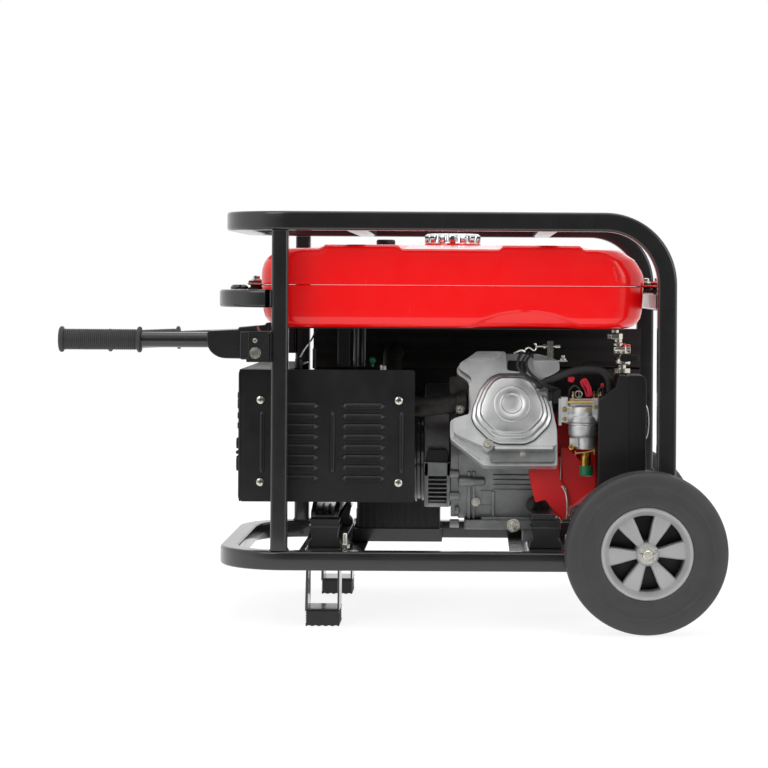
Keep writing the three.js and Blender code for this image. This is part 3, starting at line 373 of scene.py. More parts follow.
world = bpy.data.worlds.new("white_cyclorama")
world.use_nodes = True
bpy.context.scene.world = world
tree = world.node_tree
background = tree.nodes["Background"]
background.inputs["Color"].default_value = (1, 1, 1, 1)
ray = add(tree, "ShaderNodeLightPath").outputs
around = add(tree, "ShaderNodeSeparateXYZ", None, {0: add(tree, "ShaderNodeTexCoord").outputs["Generated"]})
flagged = add(tree, "ShaderNodeMapRange", {"From Min": -0.99, "From Max": -0.45, "To Min": FLAG,
                                           "To Max": BARE_WALL},
              {"Value": around.outputs["Y"]}).outputs["Result"]
spill = add(tree, "ShaderNodeMix", {"data_type": "FLOAT", 2: SPILL},
            {0: ray["Is Glossy Ray"], 3: flagged}).outputs[0]
seen = add(tree, "ShaderNodeMix", {"data_type": "FLOAT", 3: WALL},
           {0: ray["Is Camera Ray"], 2: spill}).outputs[0]
tree.links.new(seen, background.inputs["Strength"])

paper = bpy.data.materials.new("studio_paper_matt_white")
paper.use_nodes = True
sheet = paper.node_tree.nodes["Principled BSDF"]
sheet.inputs["Base Color"].default_value = linear("#8c8c8c")
sheet.inputs["Roughness"].default_value = 0.9
sheet.inputs["Specular IOR Level"].default_value = 0.1
sheet.inputs["Emission Color"].default_value = (1, 1, 1, 1)
sheet.inputs["Emission Strength"].default_value = FLOOR_GLOW
floor_mesh = bpy.data.meshes.new("studio_floor")
floor_corners = [(-REACH, FRONT_EDGE, 0), (REACH, FRONT_EDGE, 0), (REACH, REACH, 0), (-REACH, REACH, 0)]
floor_mesh.from_pydata(floor_corners, [], [(0, 1, 2, 3)])
floor = bpy.data.objects.new("studio_floor", floor_mesh)
floor_mesh.materials.append(paper)
bpy.context.scene.collection.objects.link(floor)
print(len(LIGHTS), "softboxes of", sum(light[-1] for light in LIGHTS), "watts in all")

# %% [markdown]
# ## Finishes
#
# Each finish is built from how its surface was made. The shared recipe has three layers that every
# manufactured surface shows: a slow drift of tone across a hand's width, a fine grain that breaks up the
# highlight, and a change of gloss where hands and dust have been. Their sizes are real sizes in
# millimetres. A grain finer than about half a millimetre would vanish in a full view, so it is drawn as
# coarse as it needs to show.

# %% The shared recipe
DUST_FLECK, SMEAR = 12, 35  # mm: the size of dust flecks, and of the patches hands leave
DUST = "#8d8a84"
COAT_ROUGHNESS = 0.06


def finish(name, slot, colour, roughness, metallic=0.0, ior=1.5, coat=0.0, tone=(60, 0.1), grain=(0.8, 0.1),
           gloss=0.06, edge=None, pits=None, dust=0.0):
    """tone, grain and pits are (size in mm, amount); gloss is how far the roughness strays either way; edge is a
    hex colour that shows on worn corners, and dust how much lies on what faces up."""
    made = bpy.data.materials.new(name)
    made.use_nodes = True
    made["slot"] = slot
    tree = made.node_tree
    shader = tree.nodes["Principled BSDF"]
    place = add(tree, "ShaderNodeTexCoord").outputs["Object"]
    drift = add(tree, "ShaderNodeTexNoise", {"Scale": 1000 / tone[0], "Detail": 5.0, "Roughness": 0.6},
                {"Vector": place})
    shade = add(tree, "ShaderNodeMapRange", {"From Min": 0.3, "From Max": 0.7, "To Min": 1 - tone[1],
                                             "To Max": 1 + tone[1]},
                {"Value": drift.outputs["Fac"]})
    tint = add(tree, "ShaderNodeVectorMath", {"operation": "SCALE", 0: linear(colour)[:3]},
               {"Scale": shade.outputs["Result"]})
    base = tint.outputs["Vector"]
    if edge:
        corner = add(tree, "ShaderNodeNewGeometry").outputs["Pointiness"]
        worn = add(tree, "ShaderNodeMapRange", {"From Min": 0.53, "From Max": 0.62, "To Max": 0.75},
                   {"Value": corner})
        patchy = add(tree, "ShaderNodeMath", {"operation": "MULTIPLY"}, {0: worn.outputs["Result"],
            1: drift.outputs["Fac"]})
        base = add(tree, "ShaderNodeMix", {"data_type": "RGBA", 7: linear(edge)},
                   {0: patchy.outputs["Value"], 6: base}).outputs[2]
    if dust:
        facing = add(tree, "ShaderNodeSeparateXYZ", None,
                     {0: add(tree, "ShaderNodeNewGeometry").outputs["Normal"]})
        lying = add(tree, "ShaderNodeMapRange", {"From Min": 0.5, "From Max": 1.0, "To Max": dust},
                    {"Value": facing.outputs["Z"]})
        fleck = add(tree, "ShaderNodeTexNoise", {"Scale": 1000 / DUST_FLECK, "Detail": 8.0},
                    {"Vector": place})
        laid = add(tree, "ShaderNodeMath", {"operation": "MULTIPLY"}, {0: lying.outputs["Result"],
            1: fleck.outputs["Fac"]})
        base = add(tree, "ShaderNodeMix", {"data_type": "RGBA", 7: linear(DUST)},
                   {0: laid.outputs["Value"], 6: base}).outputs[2]
    tree.links.new(base, shader.inputs["Base Color"])
    fine = add(tree, "ShaderNodeTexNoise", {"Scale": 1000 / grain[0], "Detail": 3.0}, {"Vector": place})
    height = fine.outputs["Fac"]
    if pits:
        hollows = add(tree, "ShaderNodeTexVoronoi", {"Scale": 1000 / pits[0]}, {"Vector": place})
        deep = add(tree, "ShaderNodeMapRange", {"From Max": 0.5, "To Min": -pits[1], "To Max": 0.0},
                   {"Value": hollows.outputs["Distance"]})
        height = add(tree, "ShaderNodeMath", {"operation": "ADD"},
                     {0: height, 1: deep.outputs["Result"]}).outputs["Value"]
    bump = add(tree, "ShaderNodeBump", {"Strength": grain[1], "Distance": grain[0] * MM * 0.5},
               {"Height": height})
    tree.links.new(bump.outputs["Normal"], shader.inputs["Normal"])
    smear = add(tree, "ShaderNodeTexNoise", {"Scale": 1000 / SMEAR, "Detail": 6.0, "Distortion": 0.6},
                {"Vector": place})
    spread = add(tree, "ShaderNodeMapRange", {"From Min": 0.25, "From Max": 0.75,
                                              "To Min": roughness - gloss, "To Max": roughness + gloss},
                 {"Value": smear.outputs["Fac"]})
    tree.links.new(spread.outputs["Result"], shader.inputs["Roughness"])
    shader.inputs["Metallic"].default_value = metallic
    if not metallic:
        shader.inputs["IOR"].default_value = ior
    if coat:
        shader.inputs["Coat Weight"].default_value = coat
        shader.inputs["Coat Roughness"].default_value = COAT_ROUGHNESS
    return made


# %% [markdown]
# ### Painted steel
#
# The cradle is powder-coated: the powder melts into a thick skin with a faint orange-peel wave some 2 mm
# across, and its gloss is high enough to turn white where it is seen at a low angle. The tank is sprayed
# with a red two-coat enamel, deeper and smoother. Bare metal barely shows on a new machine, only at a few
# tube corners.

# %% Painted steel
powder_coat = finish("powder_coated_steel_gloss_black", "black_powder_coat", "#212122", 0.24, coat=0.5,
                     tone=(90, 0.15), grain=(2.2, 0.06), gloss=0.05, edge="#3c3c3d")
sheet_coat = finish("powder_coated_sheet_satin_black", "black_powder_coat", "#111112", 0.36,
                    tone=(70, 0.14), grain=(1.6, 0.10), gloss=0.06, edge="#39393a", dust=0.03)
tank_enamel = finish("sprayed_enamel_red", "red_tank_paint", "#ff0509", 0.24, coat=0.3,
                     tone=(160, 0.04), grain=(2.6, 0.035), gloss=0.04)
shroud_enamel = finish("sprayed_enamel_deep_red", "dark_red_plastic", "#d4030b", 0.50,
                       tone=(60, 0.10), grain=(1.6, 0.08), gloss=0.07, edge="#cf3a36")
muffler_coat = finish("heat_resistant_paint_matt_black", "black_powder_coat", "#141313", 0.62,
                      tone=(40, 0.25), grain=(0.9, 0.30), gloss=0.10, edge="#3b332d", dust=0.08)

# %% [markdown]
# ### Castings and plated metal
#
# Three aluminiums meet on the engine: the crankcase is cast and shot-blasted, so it is grey and sandy;
# the head guide is die-cast and brighter; the rocker cover is pressed from sheet and nearly bright.
# Blasting leaves pits of about 0.3 mm, drawn here at 0.9 mm so that they still break up the light in a
# full view.

# %% Metals
blasted_cast = finish("cast_aluminium_shot_blasted", "cast_aluminium", "#8a8b8b", 0.52, metallic=1.0,
                      tone=(28, 0.20), grain=(0.9, 0.45), gloss=0.09, edge="#c6c7c8", pits=(3.0, 0.5))
die_cast = finish("die_cast_aluminium_satin", "bright_aluminium", "#d6d7d7", 0.48, metallic=1.0,
                  tone=(35, 0.12), grain=(0.7, 0.30), gloss=0.08, edge="#dfe0e1", pits=(4.0, 0.25))
pressed_aluminium = finish("pressed_aluminium_bright", "bright_aluminium", "#d4d5d5", 0.38, metallic=1.0,
                           tone=(30, 0.08), grain=(1.1, 0.10), gloss=0.08)
zinc = finish("zinc_plated_steel_clear_passivated", "zinc_plate", "#d9d6cb", 0.24, metallic=1.0,
              tone=(8, 0.12), grain=(0.6, 0.15), gloss=0.08)
yellow_zinc = finish("zinc_plated_steel_yellow_passivated", "zinc_plate", "#d9bf7c", 0.28, metallic=1.0,
                     tone=(6, 0.20), grain=(0.6, 0.12), gloss=0.07)
brass = finish("brass_turned", "zinc_plate", "#c9a14a", 0.25, metallic=1.0, tone=(6, 0.12),
               grain=(0.5, 0.10))
chrome = finish("chrome_plated_steel_polished", "chrome_cap", "#e4e5e6", 0.08, metallic=1.0,
                tone=(40, 0.03),
                grain=(3.0, 0.01), gloss=0.03)
turned_steel = finish("steel_turned_bright", "steel", "#a9aaab", 0.28, metallic=1.0, tone=(10, 0.12),
                      grain=(0.5, 0.12))
scaled_iron = finish("iron_heat_scaled", "dark_iron", "#3a3735", 0.55, metallic=0.8, tone=(22, 0.35),
                     grain=(1.2, 0.40), gloss=0.12, edge="#6a625b", pits=(4.0, 0.4))

# %% [markdown]
# ### Rubber and plastics
#
# Moulded rubber has a dull bloom and a low sheen; the tyre's is greyer, since its sidewall is full of
# clay filler. The rims are polypropylene with metal flake moulded in, so they are grey plastic, not
# metal, with a faint sparkle.

# %% Rubber and plastics
rubber = finish("moulded_rubber_black", "black_rubber", "#1c1c1d", 0.62, ior=1.52, tone=(20, 0.2),
                grain=(0.8, 0.25), gloss=0.08)
tyre_rubber = finish("tyre_rubber_charcoal", "tyre_rubber", "#373637", 0.58, ior=1.52, tone=(45, 0.12),
                     grain=(1.0, 0.22), gloss=0.07, dust=0.03)
abs_black = finish("moulded_abs_black_grained", "black_plastic", "#0f0f10", 0.42, ior=1.50, tone=(50, 0.10),
                   grain=(0.9, 0.28), gloss=0.05)
rim_plastic = finish("polypropylene_metallic_grey", "silver_plastic", "#a9aaa9", 0.42, metallic=0.25,
                     ior=1.49,
                     tone=(30, 0.05), grain=(0.7, 0.20), gloss=0.05)
nylon_red = finish("moulded_nylon_red", "red_plastic", "#c4082b", 0.38, ior=1.53, tone=(8, 0.10),
                   grain=(0.6, 0.12))
nylon_green = finish("moulded_nylon_green", "black_plastic", "#0d6a43", 0.40, ior=1.53, tone=(8, 0.10),
                     grain=(0.6, 0.12))
nylon_white = finish("moulded_nylon_white", "silver_plastic", "#dcdcd6", 0.42, ior=1.53, tone=(8, 0.06),
                     grain=(0.6, 0.12))
print(len(bpy.data.materials), "finishes so far")

# %% [markdown]
# ## The cradle
#
# Each side of the cradle is one length of 30 mm square tube, bent cold round a former until its ends
# meet: along the ground, up at the wheels, back over the tank and across behind the handles. Square tube
# bent this way keeps its rolled corners, and they draw the long white highlights. A swept section with
# real corner radii gives them.

# %% Square tube hoops
TUBE = 30
TUBE_CORNER = 4.5
BEND = 98  # radius of the bends, to the middle of the tube
HALF_TRACK = 240  # the middle of each hoop from the middle of the machine
TOP_SET_BACK = 8  # the cross run over the handles stands this far inside the one on the floor


def square_tube(path, width=TUBE, corner=TUBE_CORNER, up=(0, 0, 1)):
    section = rounded(-width / 2, width / 2, -width / 2, width / 2, corner, 5)
    return swept(section, path, up)


for side_name, side in SIDES:
    low, high = span(f"side_hoop_{side_name}")
    x0, x1 = low.x + TUBE / 2, high.x - TUBE / 2
    z0, z1 = low.z + TUBE / 2, high.z - TUBE / 2
    y, top_x = side * HALF_TRACK, x0 + TOP_SET_BACK
    corners = [(x0, 0, z0), (x0, y, z0), (x1, y, z0), (x1, y, z1), (top_x, y, z1), (top_x, 0, z1)]
    path = filleted(corners, BEND, 20)
    path[0].y = path[-1].y = side * 0.15
    piece(f"bent_tube_hoop_{side_name}", [square_tube(path, up=(0, side, 0))], powder_coat,
          hides=f"side_hoop_{side_name}", edge=0)
count("bent hoops")

# %% [markdown]
# The guard bar before the tank is 28 mm tube with two easy bends. The posts of the panel end are 26 mm.
# The two top bars and the tank support are straight lengths, welded between the hoops with a small bead.

# %% Straight bars
BAR = 28  # square tube of the guard bar and of the tank support
GUARD_BEND = 74


def weld_bead(centre, half_u, half_v, axis, radius=2.2):
    """A bead of weld that runs round a square tube where it meets another."""
    ring = rounded(-half_u, half_u, -half_v, half_v, 4, 4)
    stations = []
    for u, v in ring + ring[:1]:
        p = {"X": (0, u, v), "Y": (u, 0, v), "Z": (u, v, 0)}[axis]
        stations.append(Vector(centre) + Vector(p))
    return swept(circle(radius, 8), stations, up=axes_for(axis)[2])


def bar_between_hoops(node):
    low, high = span(node)
    centre = (low + high) / 2
    width = high.x - low.x
    shells = [square_tube([Vector((centre.x, low.y, centre.z)), Vector((centre.x, high.y, centre.z))],
                          width)]
    for end in (low.y + 1.5, high.y - 1.5):
        shells.append(weld_bead((centre.x, end, centre.z), width / 2, width / 2 - 2.2, "Y"))
    return shells


for node, name in (("top_crossbar_panel_end", "top_bar_panel_end"), ("top_crossbar_wheel_end",
    "top_bar_wheel_end")):
    piece(name, bar_between_hoops(node), powder_coat, hides=node, edge=0)

low, high = span("tank_support_bar")
support_middle = Vector(((low.x + high.x) / 2, 0, low.z + BAR / 2))
support = [square_tube([support_middle + Vector((0, y, 0)) for y in (low.y, high.y)], BAR)]
for y in (-140, 140):
    support.append(turned("Z", [(0, 0), (15, 0), (15, 6), (11, 9.6), (0, 9.6)],
                          (support_middle.x, y, low.z + BAR), 32))
piece("tank_support_tube", support, powder_coat, hides="tank_support_bar", edge=0.5)

low, high = span("end_guard_bar")
bar_x, bar_z, bar_end = low.x + BAR / 2, low.z + BAR / 2, high.x - 2
near, far = low.y + BAR / 2, high.y - BAR / 2
guard_path = [(bar_end, near, bar_z), (bar_x, near, bar_z), (bar_x, far, bar_z), (bar_end, far, bar_z)]
guard = [square_tube(filleted(guard_path, GUARD_BEND, 18), BAR)]
guard.append(turned("Z", [(0, 0), (15, 0), (15, 4), (11, 7.6), (0, 7.6)], (bar_x, 0, low.z + BAR), 32))
piece("tank_guard_bar", guard, powder_coat, hides="end_guard_bar", edge=0.5)
count("bars")

# %% [markdown]
# Each post carries the handle bracket: a plate folded round the pivot, with a bright line where the fold
# catches the light, and ears that hold the pivot bolt. The bolt's hexagon head is zinc plated.

# %% Posts and handle brackets
POST = 26
RAIL_TOP = 121.5
PIVOT_FROM_POST, PIVOT_HEIGHT = 37, 432
CHEEK_OUT, CHEEK_IN = 20.5, 17.5  # the two faces of each ear, from the middle of the tube


def pivot_of(side_name, side):
    """The middle of a handle's pivot bolt."""
    post_x = span(f"panel_post_{side_name}")[1].x - POST / 2
    return Vector((post_x - PIVOT_FROM_POST, side * HALF_TRACK, PIVOT_HEIGHT))


for side_name, side in SIDES:
    low, high = span(f"panel_post_{side_name}")
    pivot = pivot_of(side_name, side)
    post_x, y = pivot.x + PIVOT_FROM_POST, pivot.y
    shells = [square_tube([Vector((post_x, y, RAIL_TOP)), Vector((post_x, y, high.z))], POST)]
    for foot_side in (-1, 1):  # a fillet of weld where the post stands on the rail
        fillet = [(post_x + foot_side * out, z) for out, z in ((12, 118), (20, 118), (15, RAIL_TOP),
            (12, 127))]
        shells.append(extruded("Y", fillet, y - 10, y + 10))
    edge_x = pivot.x - 24
    cheek_outline = [(post_x - 12, 417.5), (pivot.x - 14, 417.5), (pivot.x - 14, 421.5),
                     (edge_x + 2, 421.5),
                     (edge_x, 424), (edge_x, 464), (edge_x + 2, 466), (post_x - 20, 466),
                     (post_x - 12, 462)]
    fold_outline = [(edge_x + 0.8, 422.3), (edge_x + 14, 422.3), (edge_x + 14, 465), (edge_x + 0.8, 465)]
    face = y + side * CHEEK_OUT
    shells.append(extruded("Y", cheek_outline, *sorted((face, y + side * CHEEK_IN))))
    shells.append(extruded("Y", fold_outline, *sorted((face - side, face + side * 1.6))))
    shells.append(extruded("Y", cheek_outline, *sorted((y - side * CHEEK_IN, y - side * CHEEK_OUT))))
    shells.append(brick((post_x - 15.5, y - CHEEK_OUT, 417.5), (post_x - 12.5, y + CHEEK_OUT, 466)))
    piece(f"post_and_bracket_{side_name}", shells, powder_coat, hides=f"panel_post_{side_name}", edge=0.8)
    head = [rod("Y", 8.8, 0, side * 1.6, (pivot.x, face, pivot.z), 40)]
    turns = [math.pi * (i + 0.5) / 3 for i in range(6)]
    hexagon = [(pivot.x + 6.6 * math.cos(a), pivot.z + 6.6 * math.sin(a)) for a in turns]
    head.append(extruded("Y", hexagon, *sorted((face + side * 1.6, face + side * 4.2))))
    piece(f"handle_pivot_bolt_{side_name}", head, zinc, edge=0.5)
count("posts, brackets and bolts")

# %% [markdown]
# ## Cross members, legs, feet and mounts
#
# Two members of 3 mm sheet, folded to a hat section, tie the bottom rails and carry the engine. A leg is
# a strap folded into a U and bolted up under the hat, and the foot is a rubber block ribbed so that it
# gives.

# %% Hat members and legs
HAT_SHEET, HAT_TOP = 3, 60
LEG_WIDTH, LEG_SHEET = 53, 3
SOLE_WAVES, SOLE_DEPTH, SOLE_STEPS = 5, 1.4, 44
GROOVES_AT, GROOVE_DEPTH = (6, 10, 14, 18), 2.4
for node, name in (("alternator_cross_member", "hat_member_alternator"),
                   ("engine_cross_member", "hat_member_engine")):
    low, high = span(node)
    x = (low.x + high.x) / 2
    half_brim, half_top = (high.x - low.x) / 2, HAT_TOP / 2
    left = [(-half_brim, low.z), (-half_top + HAT_SHEET, low.z),
            (-half_top + HAT_SHEET, high.z - HAT_SHEET)]
    right = [(-a, b) for a, b in reversed(left)]
    rising = [(half_brim, low.z + HAT_SHEET), (half_top, low.z + HAT_SHEET), (half_top, high.z - HAT_SHEET),
              (half_top - HAT_SHEET, high.z)]
    back = rising + [(-a, b) for a, b in reversed(rising)]
    outline = [(x + a, b) for a, b in left + right + back]
    piece(name, [extruded("Y", outline, low.y, high.y)], powder_coat, hides=node, edge=0.7)

for side_name, side in SIDES:
    low, high = span(f"leg_{side_name}")
    x = (low.x + high.x) / 2
    half, inside = LEG_WIDTH / 2, LEG_WIDTH / 2 - LEG_SHEET
    shells = []
    for turn in (-1, 1):
        wall = sorted((x + turn * half, x + turn * inside))
        shells.append(brick((wall[0], low.y, low.z), (wall[1], high.y, high.z)))
        ear = sorted((x + turn * inside, x + turn * (high.x - low.x) / 2))
        shells.append(brick((ear[0], low.y, high.z - LEG_SHEET), (ear[1], high.y, high.z)))
    shells.append(brick((x - half, low.y, low.z), (x + half, high.y, low.z + LEG_SHEET)))
    piece(f"leg_strap_{side_name}", shells, powder_coat, hides=f"leg_{side_name}", edge=1.2)

    low, high = span(f"foot_pad_{side_name}")
    half = (high.x - low.x) / 2
    outline = []
    for i in range(SOLE_STEPS + 1):  # the wavy sole
        wave = 0.5 - 0.5 * math.cos(2 * math.pi * SOLE_WAVES * i / SOLE_STEPS)
        outline.append((x - half + 2 * half * i / SOLE_STEPS, low.z + 0.02 + SOLE_DEPTH * wave))
    flank = []  # grooves up the side, as distances from the middle
    for z in GROOVES_AT:
        inner = half - GROOVE_DEPTH
        flank += [(half, z - 1), (inner, z + 0.2), (inner, z + 1), (half, z + 1.8)]
    flank.append((half - 1, high.z - low.z))
    outline += [(x + a, low.z + b) for a, b in flank] + [(x - a, low.z + b) for a, b in reversed(flank)]
    piece(f"rubber_foot_{side_name}", [extruded("Y", outline, low.y, high.y)], rubber,
          hides=f"foot_pad_{side_name}", edge=0.5)
count("members, legs and feet")

# %% [markdown]
# The anti-vibration mounts are rubber blocks bonded between two steel plates. The rubber is thicker below
# than above, and the painted edge of the upper plate shows between them. A stud and nut stand beside each
# of them.

# %% Nuts and bolts
WASHER = 1.4  # thickness of the washer under a bolt's head


def hex_nut(centre, axis, across, height):
    """A nut with its corners turned off, standing on centre."""
    reach = across / math.sqrt(3)
    spots = [(reach * math.cos(a), reach * math.sin(a)) for a in [math.pi * i / 3 for i in range(6)]]
    across_axis, up, along = axes_for(axis)
    rings = []
    for grow, rise in ((0.9, 0), (1, height * 0.12), (1, height * 0.88), (0.9, height)):
        rings.append([Vector(centre) + along * rise + (across_axis * a + up * b) * grow for a, b in spots])
    return bridged(rings)


def flange_bolt(centre, axis, across, height, out=1):
    """A bolt head on its washer, facing along the axis; out is -1 to face the other way."""
    shells = [turned(axis, [(0, 0), (across * 0.78, 0), (across * 0.78, out * WASHER), (0, out * WASHER)],
                     centre, 32)]
    along = axes_for(axis)[2]
    shells.append(hex_nut(Vector(centre) + along * out * WASHER, axis, across, out * height))
    shells.append(turned(axis, [(0, 0), (across * 0.36, 0), (across * 0.3, out * 0.6), (0, out * 0.6)],
                         Vector(centre) + along * out * (WASHER + height), 24))
    return shells


# %% Rubber mounts
PLATE_BELOW_TOP = 12
STUD_FROM_MOUNT = (34, 12)  # along the machine, and out past the mount

for end in ("alternator", "engine"):
    for side_name, side in SIDES:
        node = f"{end}_mount_{side_name}"
        low, high = span(node)
        x, half = (low.x + high.x) / 2, (high.x - low.x) / 2
        plate = high.z - PLATE_BELOW_TOP
        flank = [(half, low.z), (half - 1, low.z + 8), (half - 6, low.z + 14), (half - 3, plate - 2)]
        block_outline = [(x - half, low.z)] + [(x + a, b) for a, b in flank]
        block_outline += [(x - a, b) for a, b in reversed(flank[1:])]
        upper = [(x - half + 4, plate + 2.4), (x + half - 4, plate + 2.4), (x + half - 2, high.z),
                 (x - half + 2, high.z)]
        piece(f"mount_rubber_{end}_{side_name}", [extruded("Y", block_outline, low.y, high.y),
                                                  extruded("Y", upper, low.y, high.y)],
              rubber, hides=node, edge=1.0)
        piece(f"mount_plate_{end}_{side_name}",
              [brick((x - half + 1, low.y, plate - 2), (x + half - 1, high.y, plate + 2.4))],
              powder_coat, edge=0.5)
        edge_y = low.y if side < 0 else high.y
        foot = (x + STUD_FROM_MOUNT[0], edge_y + side * STUD_FROM_MOUNT[1], low.z)
        stud = [turned("Z", [(0, 0), (4, 0), (4, 22), (3.2, 24), (0, 24)], foot, 20),
                hex_nut(foot, "Z", 13, 7)]
        piece(f"mount_stud_{end}_{side_name}", stud, zinc, edge=0.3)
count("rubber mounts and studs")

# %% [markdown]
# ## The wheels
#
# The ten-inch tyres have a step on the sidewall, where the mould's halves meet, and a crowned tread with
# four grooves. A tyre and its rim are lathe shells. The rim is one moulding whose six spokes widen
# towards the tyre, and a black disc behind them is painted shade that darkens the windows. Both wheels
# turn on a plain axle, held by a washer and a split pin.

# %% Tyres and rims
RIM_SEAT, RIM_WINDOW, HUB = 72, 59, 17
TYRE_RADIUS, TYRE_HALF = 127, 29
GROOVES, GROOVE_WIDTH, TREAD_DEPTH, CROWN = (-16, -5.5, 5.5, 16), 2.4, 3.2, 2.2
SPOKES, SPOKE_TURN = 6, 5  # how many, and how many degrees the first is turned
for side_name, side in SIDES:
    body = f"wheel_{side_name}"
    low, high = span(f"tyre_{side_name}")
    x, z, y = (low.x + high.x) / 2, (low.z + high.z) / 2, (low.y + high.y) / 2
    half = (high.y - low.y) / 2
    profile = []
    for station in [i * 0.9 for i in range(-26, 27)]:  # tread, crowned and grooved
        if abs(station) <= 23:
            radius = TYRE_RADIUS - (station / 24) ** 2 * CROWN
            if any(abs(station - g) < GROOVE_WIDTH / 2 for g in GROOVES):
                radius -= TREAD_DEPTH
            profile.append((radius, station))
    wall = [(122.5, 25.6), (118, 27.6), (112, 28.6), (103, 29), (101.5, 28.2), (100, 26.2), (98.5, 25.6),
            (88, 25.8),
            (86.5, 26.8), (84, 27.2), (76, 26.6), (RIM_SEAT + 0.2, 24), (RIM_SEAT + 0.2, 18)]
    profile = [(r, -s) for r, s in reversed(wall)] + profile + wall
    tyre = turned("Y", [(r, s * half / TYRE_HALF) for r, s in profile], (x, y, z), 144, loop=True)
    piece(f"tyre_with_tread_{side_name}", [tyre], tyre_rubber, body, hides=f"tyre_{side_name}", edge=0,
          crease=40)

    ring = [(RIM_SEAT, -24), (RIM_SEAT, 23), (RIM_SEAT - 2, 25), (RIM_SEAT - 5, 25.4), (RIM_SEAT - 8, 22),
            (RIM_WINDOW + 2, 18),
            (RIM_WINDOW, 15), (RIM_WINDOW, -15), (RIM_SEAT - 6, -22), (RIM_SEAT - 3, -24)]
    hub = [(8.5, -31), (HUB, -31), (HUB + 1, 10), (HUB + 1, 24), (HUB - 1, 28), (HUB - 3, 30), (8.5, 30)]
    shells = [turned("Y", [(r, s * side) for r, s in line], (x, y, z), sides, loop=True)
              for line, sides in ((ring, 96), (hub, 64))]
    for k in range(SPOKES):
        turn = math.radians(360 / SPOKES * k + SPOKE_TURN)
        rings = []
        stations = ((HUB - 2, 5.6, -6, 24), (30, 8.6, -5, 22), (46, 12.4, -4, 19),
                    (RIM_WINDOW + 2, 15, -4, 17))
        for reach, across, near, far in stations:
            ring = []
            half_section = [(across, near), (across, far - 3), (across - 3, far)]
            for a, b in [(-a, b) for a, b in half_section] + half_section[::-1]:
                px = x + reach * math.cos(turn) - a * math.sin(turn)
                pz = z + reach * math.sin(turn) + a * math.cos(turn)
                ring.append(Vector((px, y + side * b, pz)))
            rings.append(ring)
        shells.append(bridged(rings))
    piece(f"spoked_rim_{side_name}", shells, rim_plastic, body, hides=f"wheel_rim_{side_name}", edge=1.2)
    # a black disc behind the spokes: painted shade seen through the windows
    back = [(18, -20), (62, -22), (62, -19), (18, -17)]
    piece(f"rim_window_shade_disc_{side_name}", [turned("Y", [(r, s * side) for r, s in back], (x, y, z), 72,
                                                loop=True)], abs_black,
          body, edge=0)

# %% Axle and split pins
WASHER_AT, WASHER_END = 323, 325.2
low, high = span("axle")
x, z = (low.x + high.x) / 2, (low.z + high.z) / 2
ends = high.y
shaft = [turned("Y", [(0, -ends), (6, -ends), (8, -ends + 2), (8, ends - 2), (6, ends), (0, ends)],
                (x, 0, z), 40)]
for side_name, side in SIDES:
    shaft.append(collar("Y", 8, 13.5, side * WASHER_AT, side * WASHER_END, (x, 0, z), 40))
piece("axle_and_washers", shaft, zinc, hides="axle", edge=0.4)
for side_name, side in SIDES:
    loop = [(x - 12, side * 327.4, z + 2), (x - 7, side * 328.2, z + 1), (x, side * 328.6, z),
            (x + 7, side * 328.2, z + 1),
            (x + 13, side * 327.4, z + 5), (x + 15, side * 327, z + 9), (x + 10, side * 327, z + 10)]
    leg = [(x + 6, side * 328, z - 2), (x + 11, side * 327.6, z - 14), (x + 17, side * 327.6, z - 26)]
    piece(f"split_pin_{side_name}", [hose(loop, 1.2, 8, 5), hose(leg, 1.2, 8, 5)], turned_steel, edge=0)
count("wheels, axle and pins")

# %% [markdown]
# ## The folding handles
#
# A steel knuckle sits between the ears of the bracket and carries a straight tube with a ribbed rubber
# grip pushed over it. The grip's ribs are about 3 mm apart between two flanges. The rear handle hangs 2.5
# degrees lower, by the slack in its lock, so its shells are turned about its own pivot.

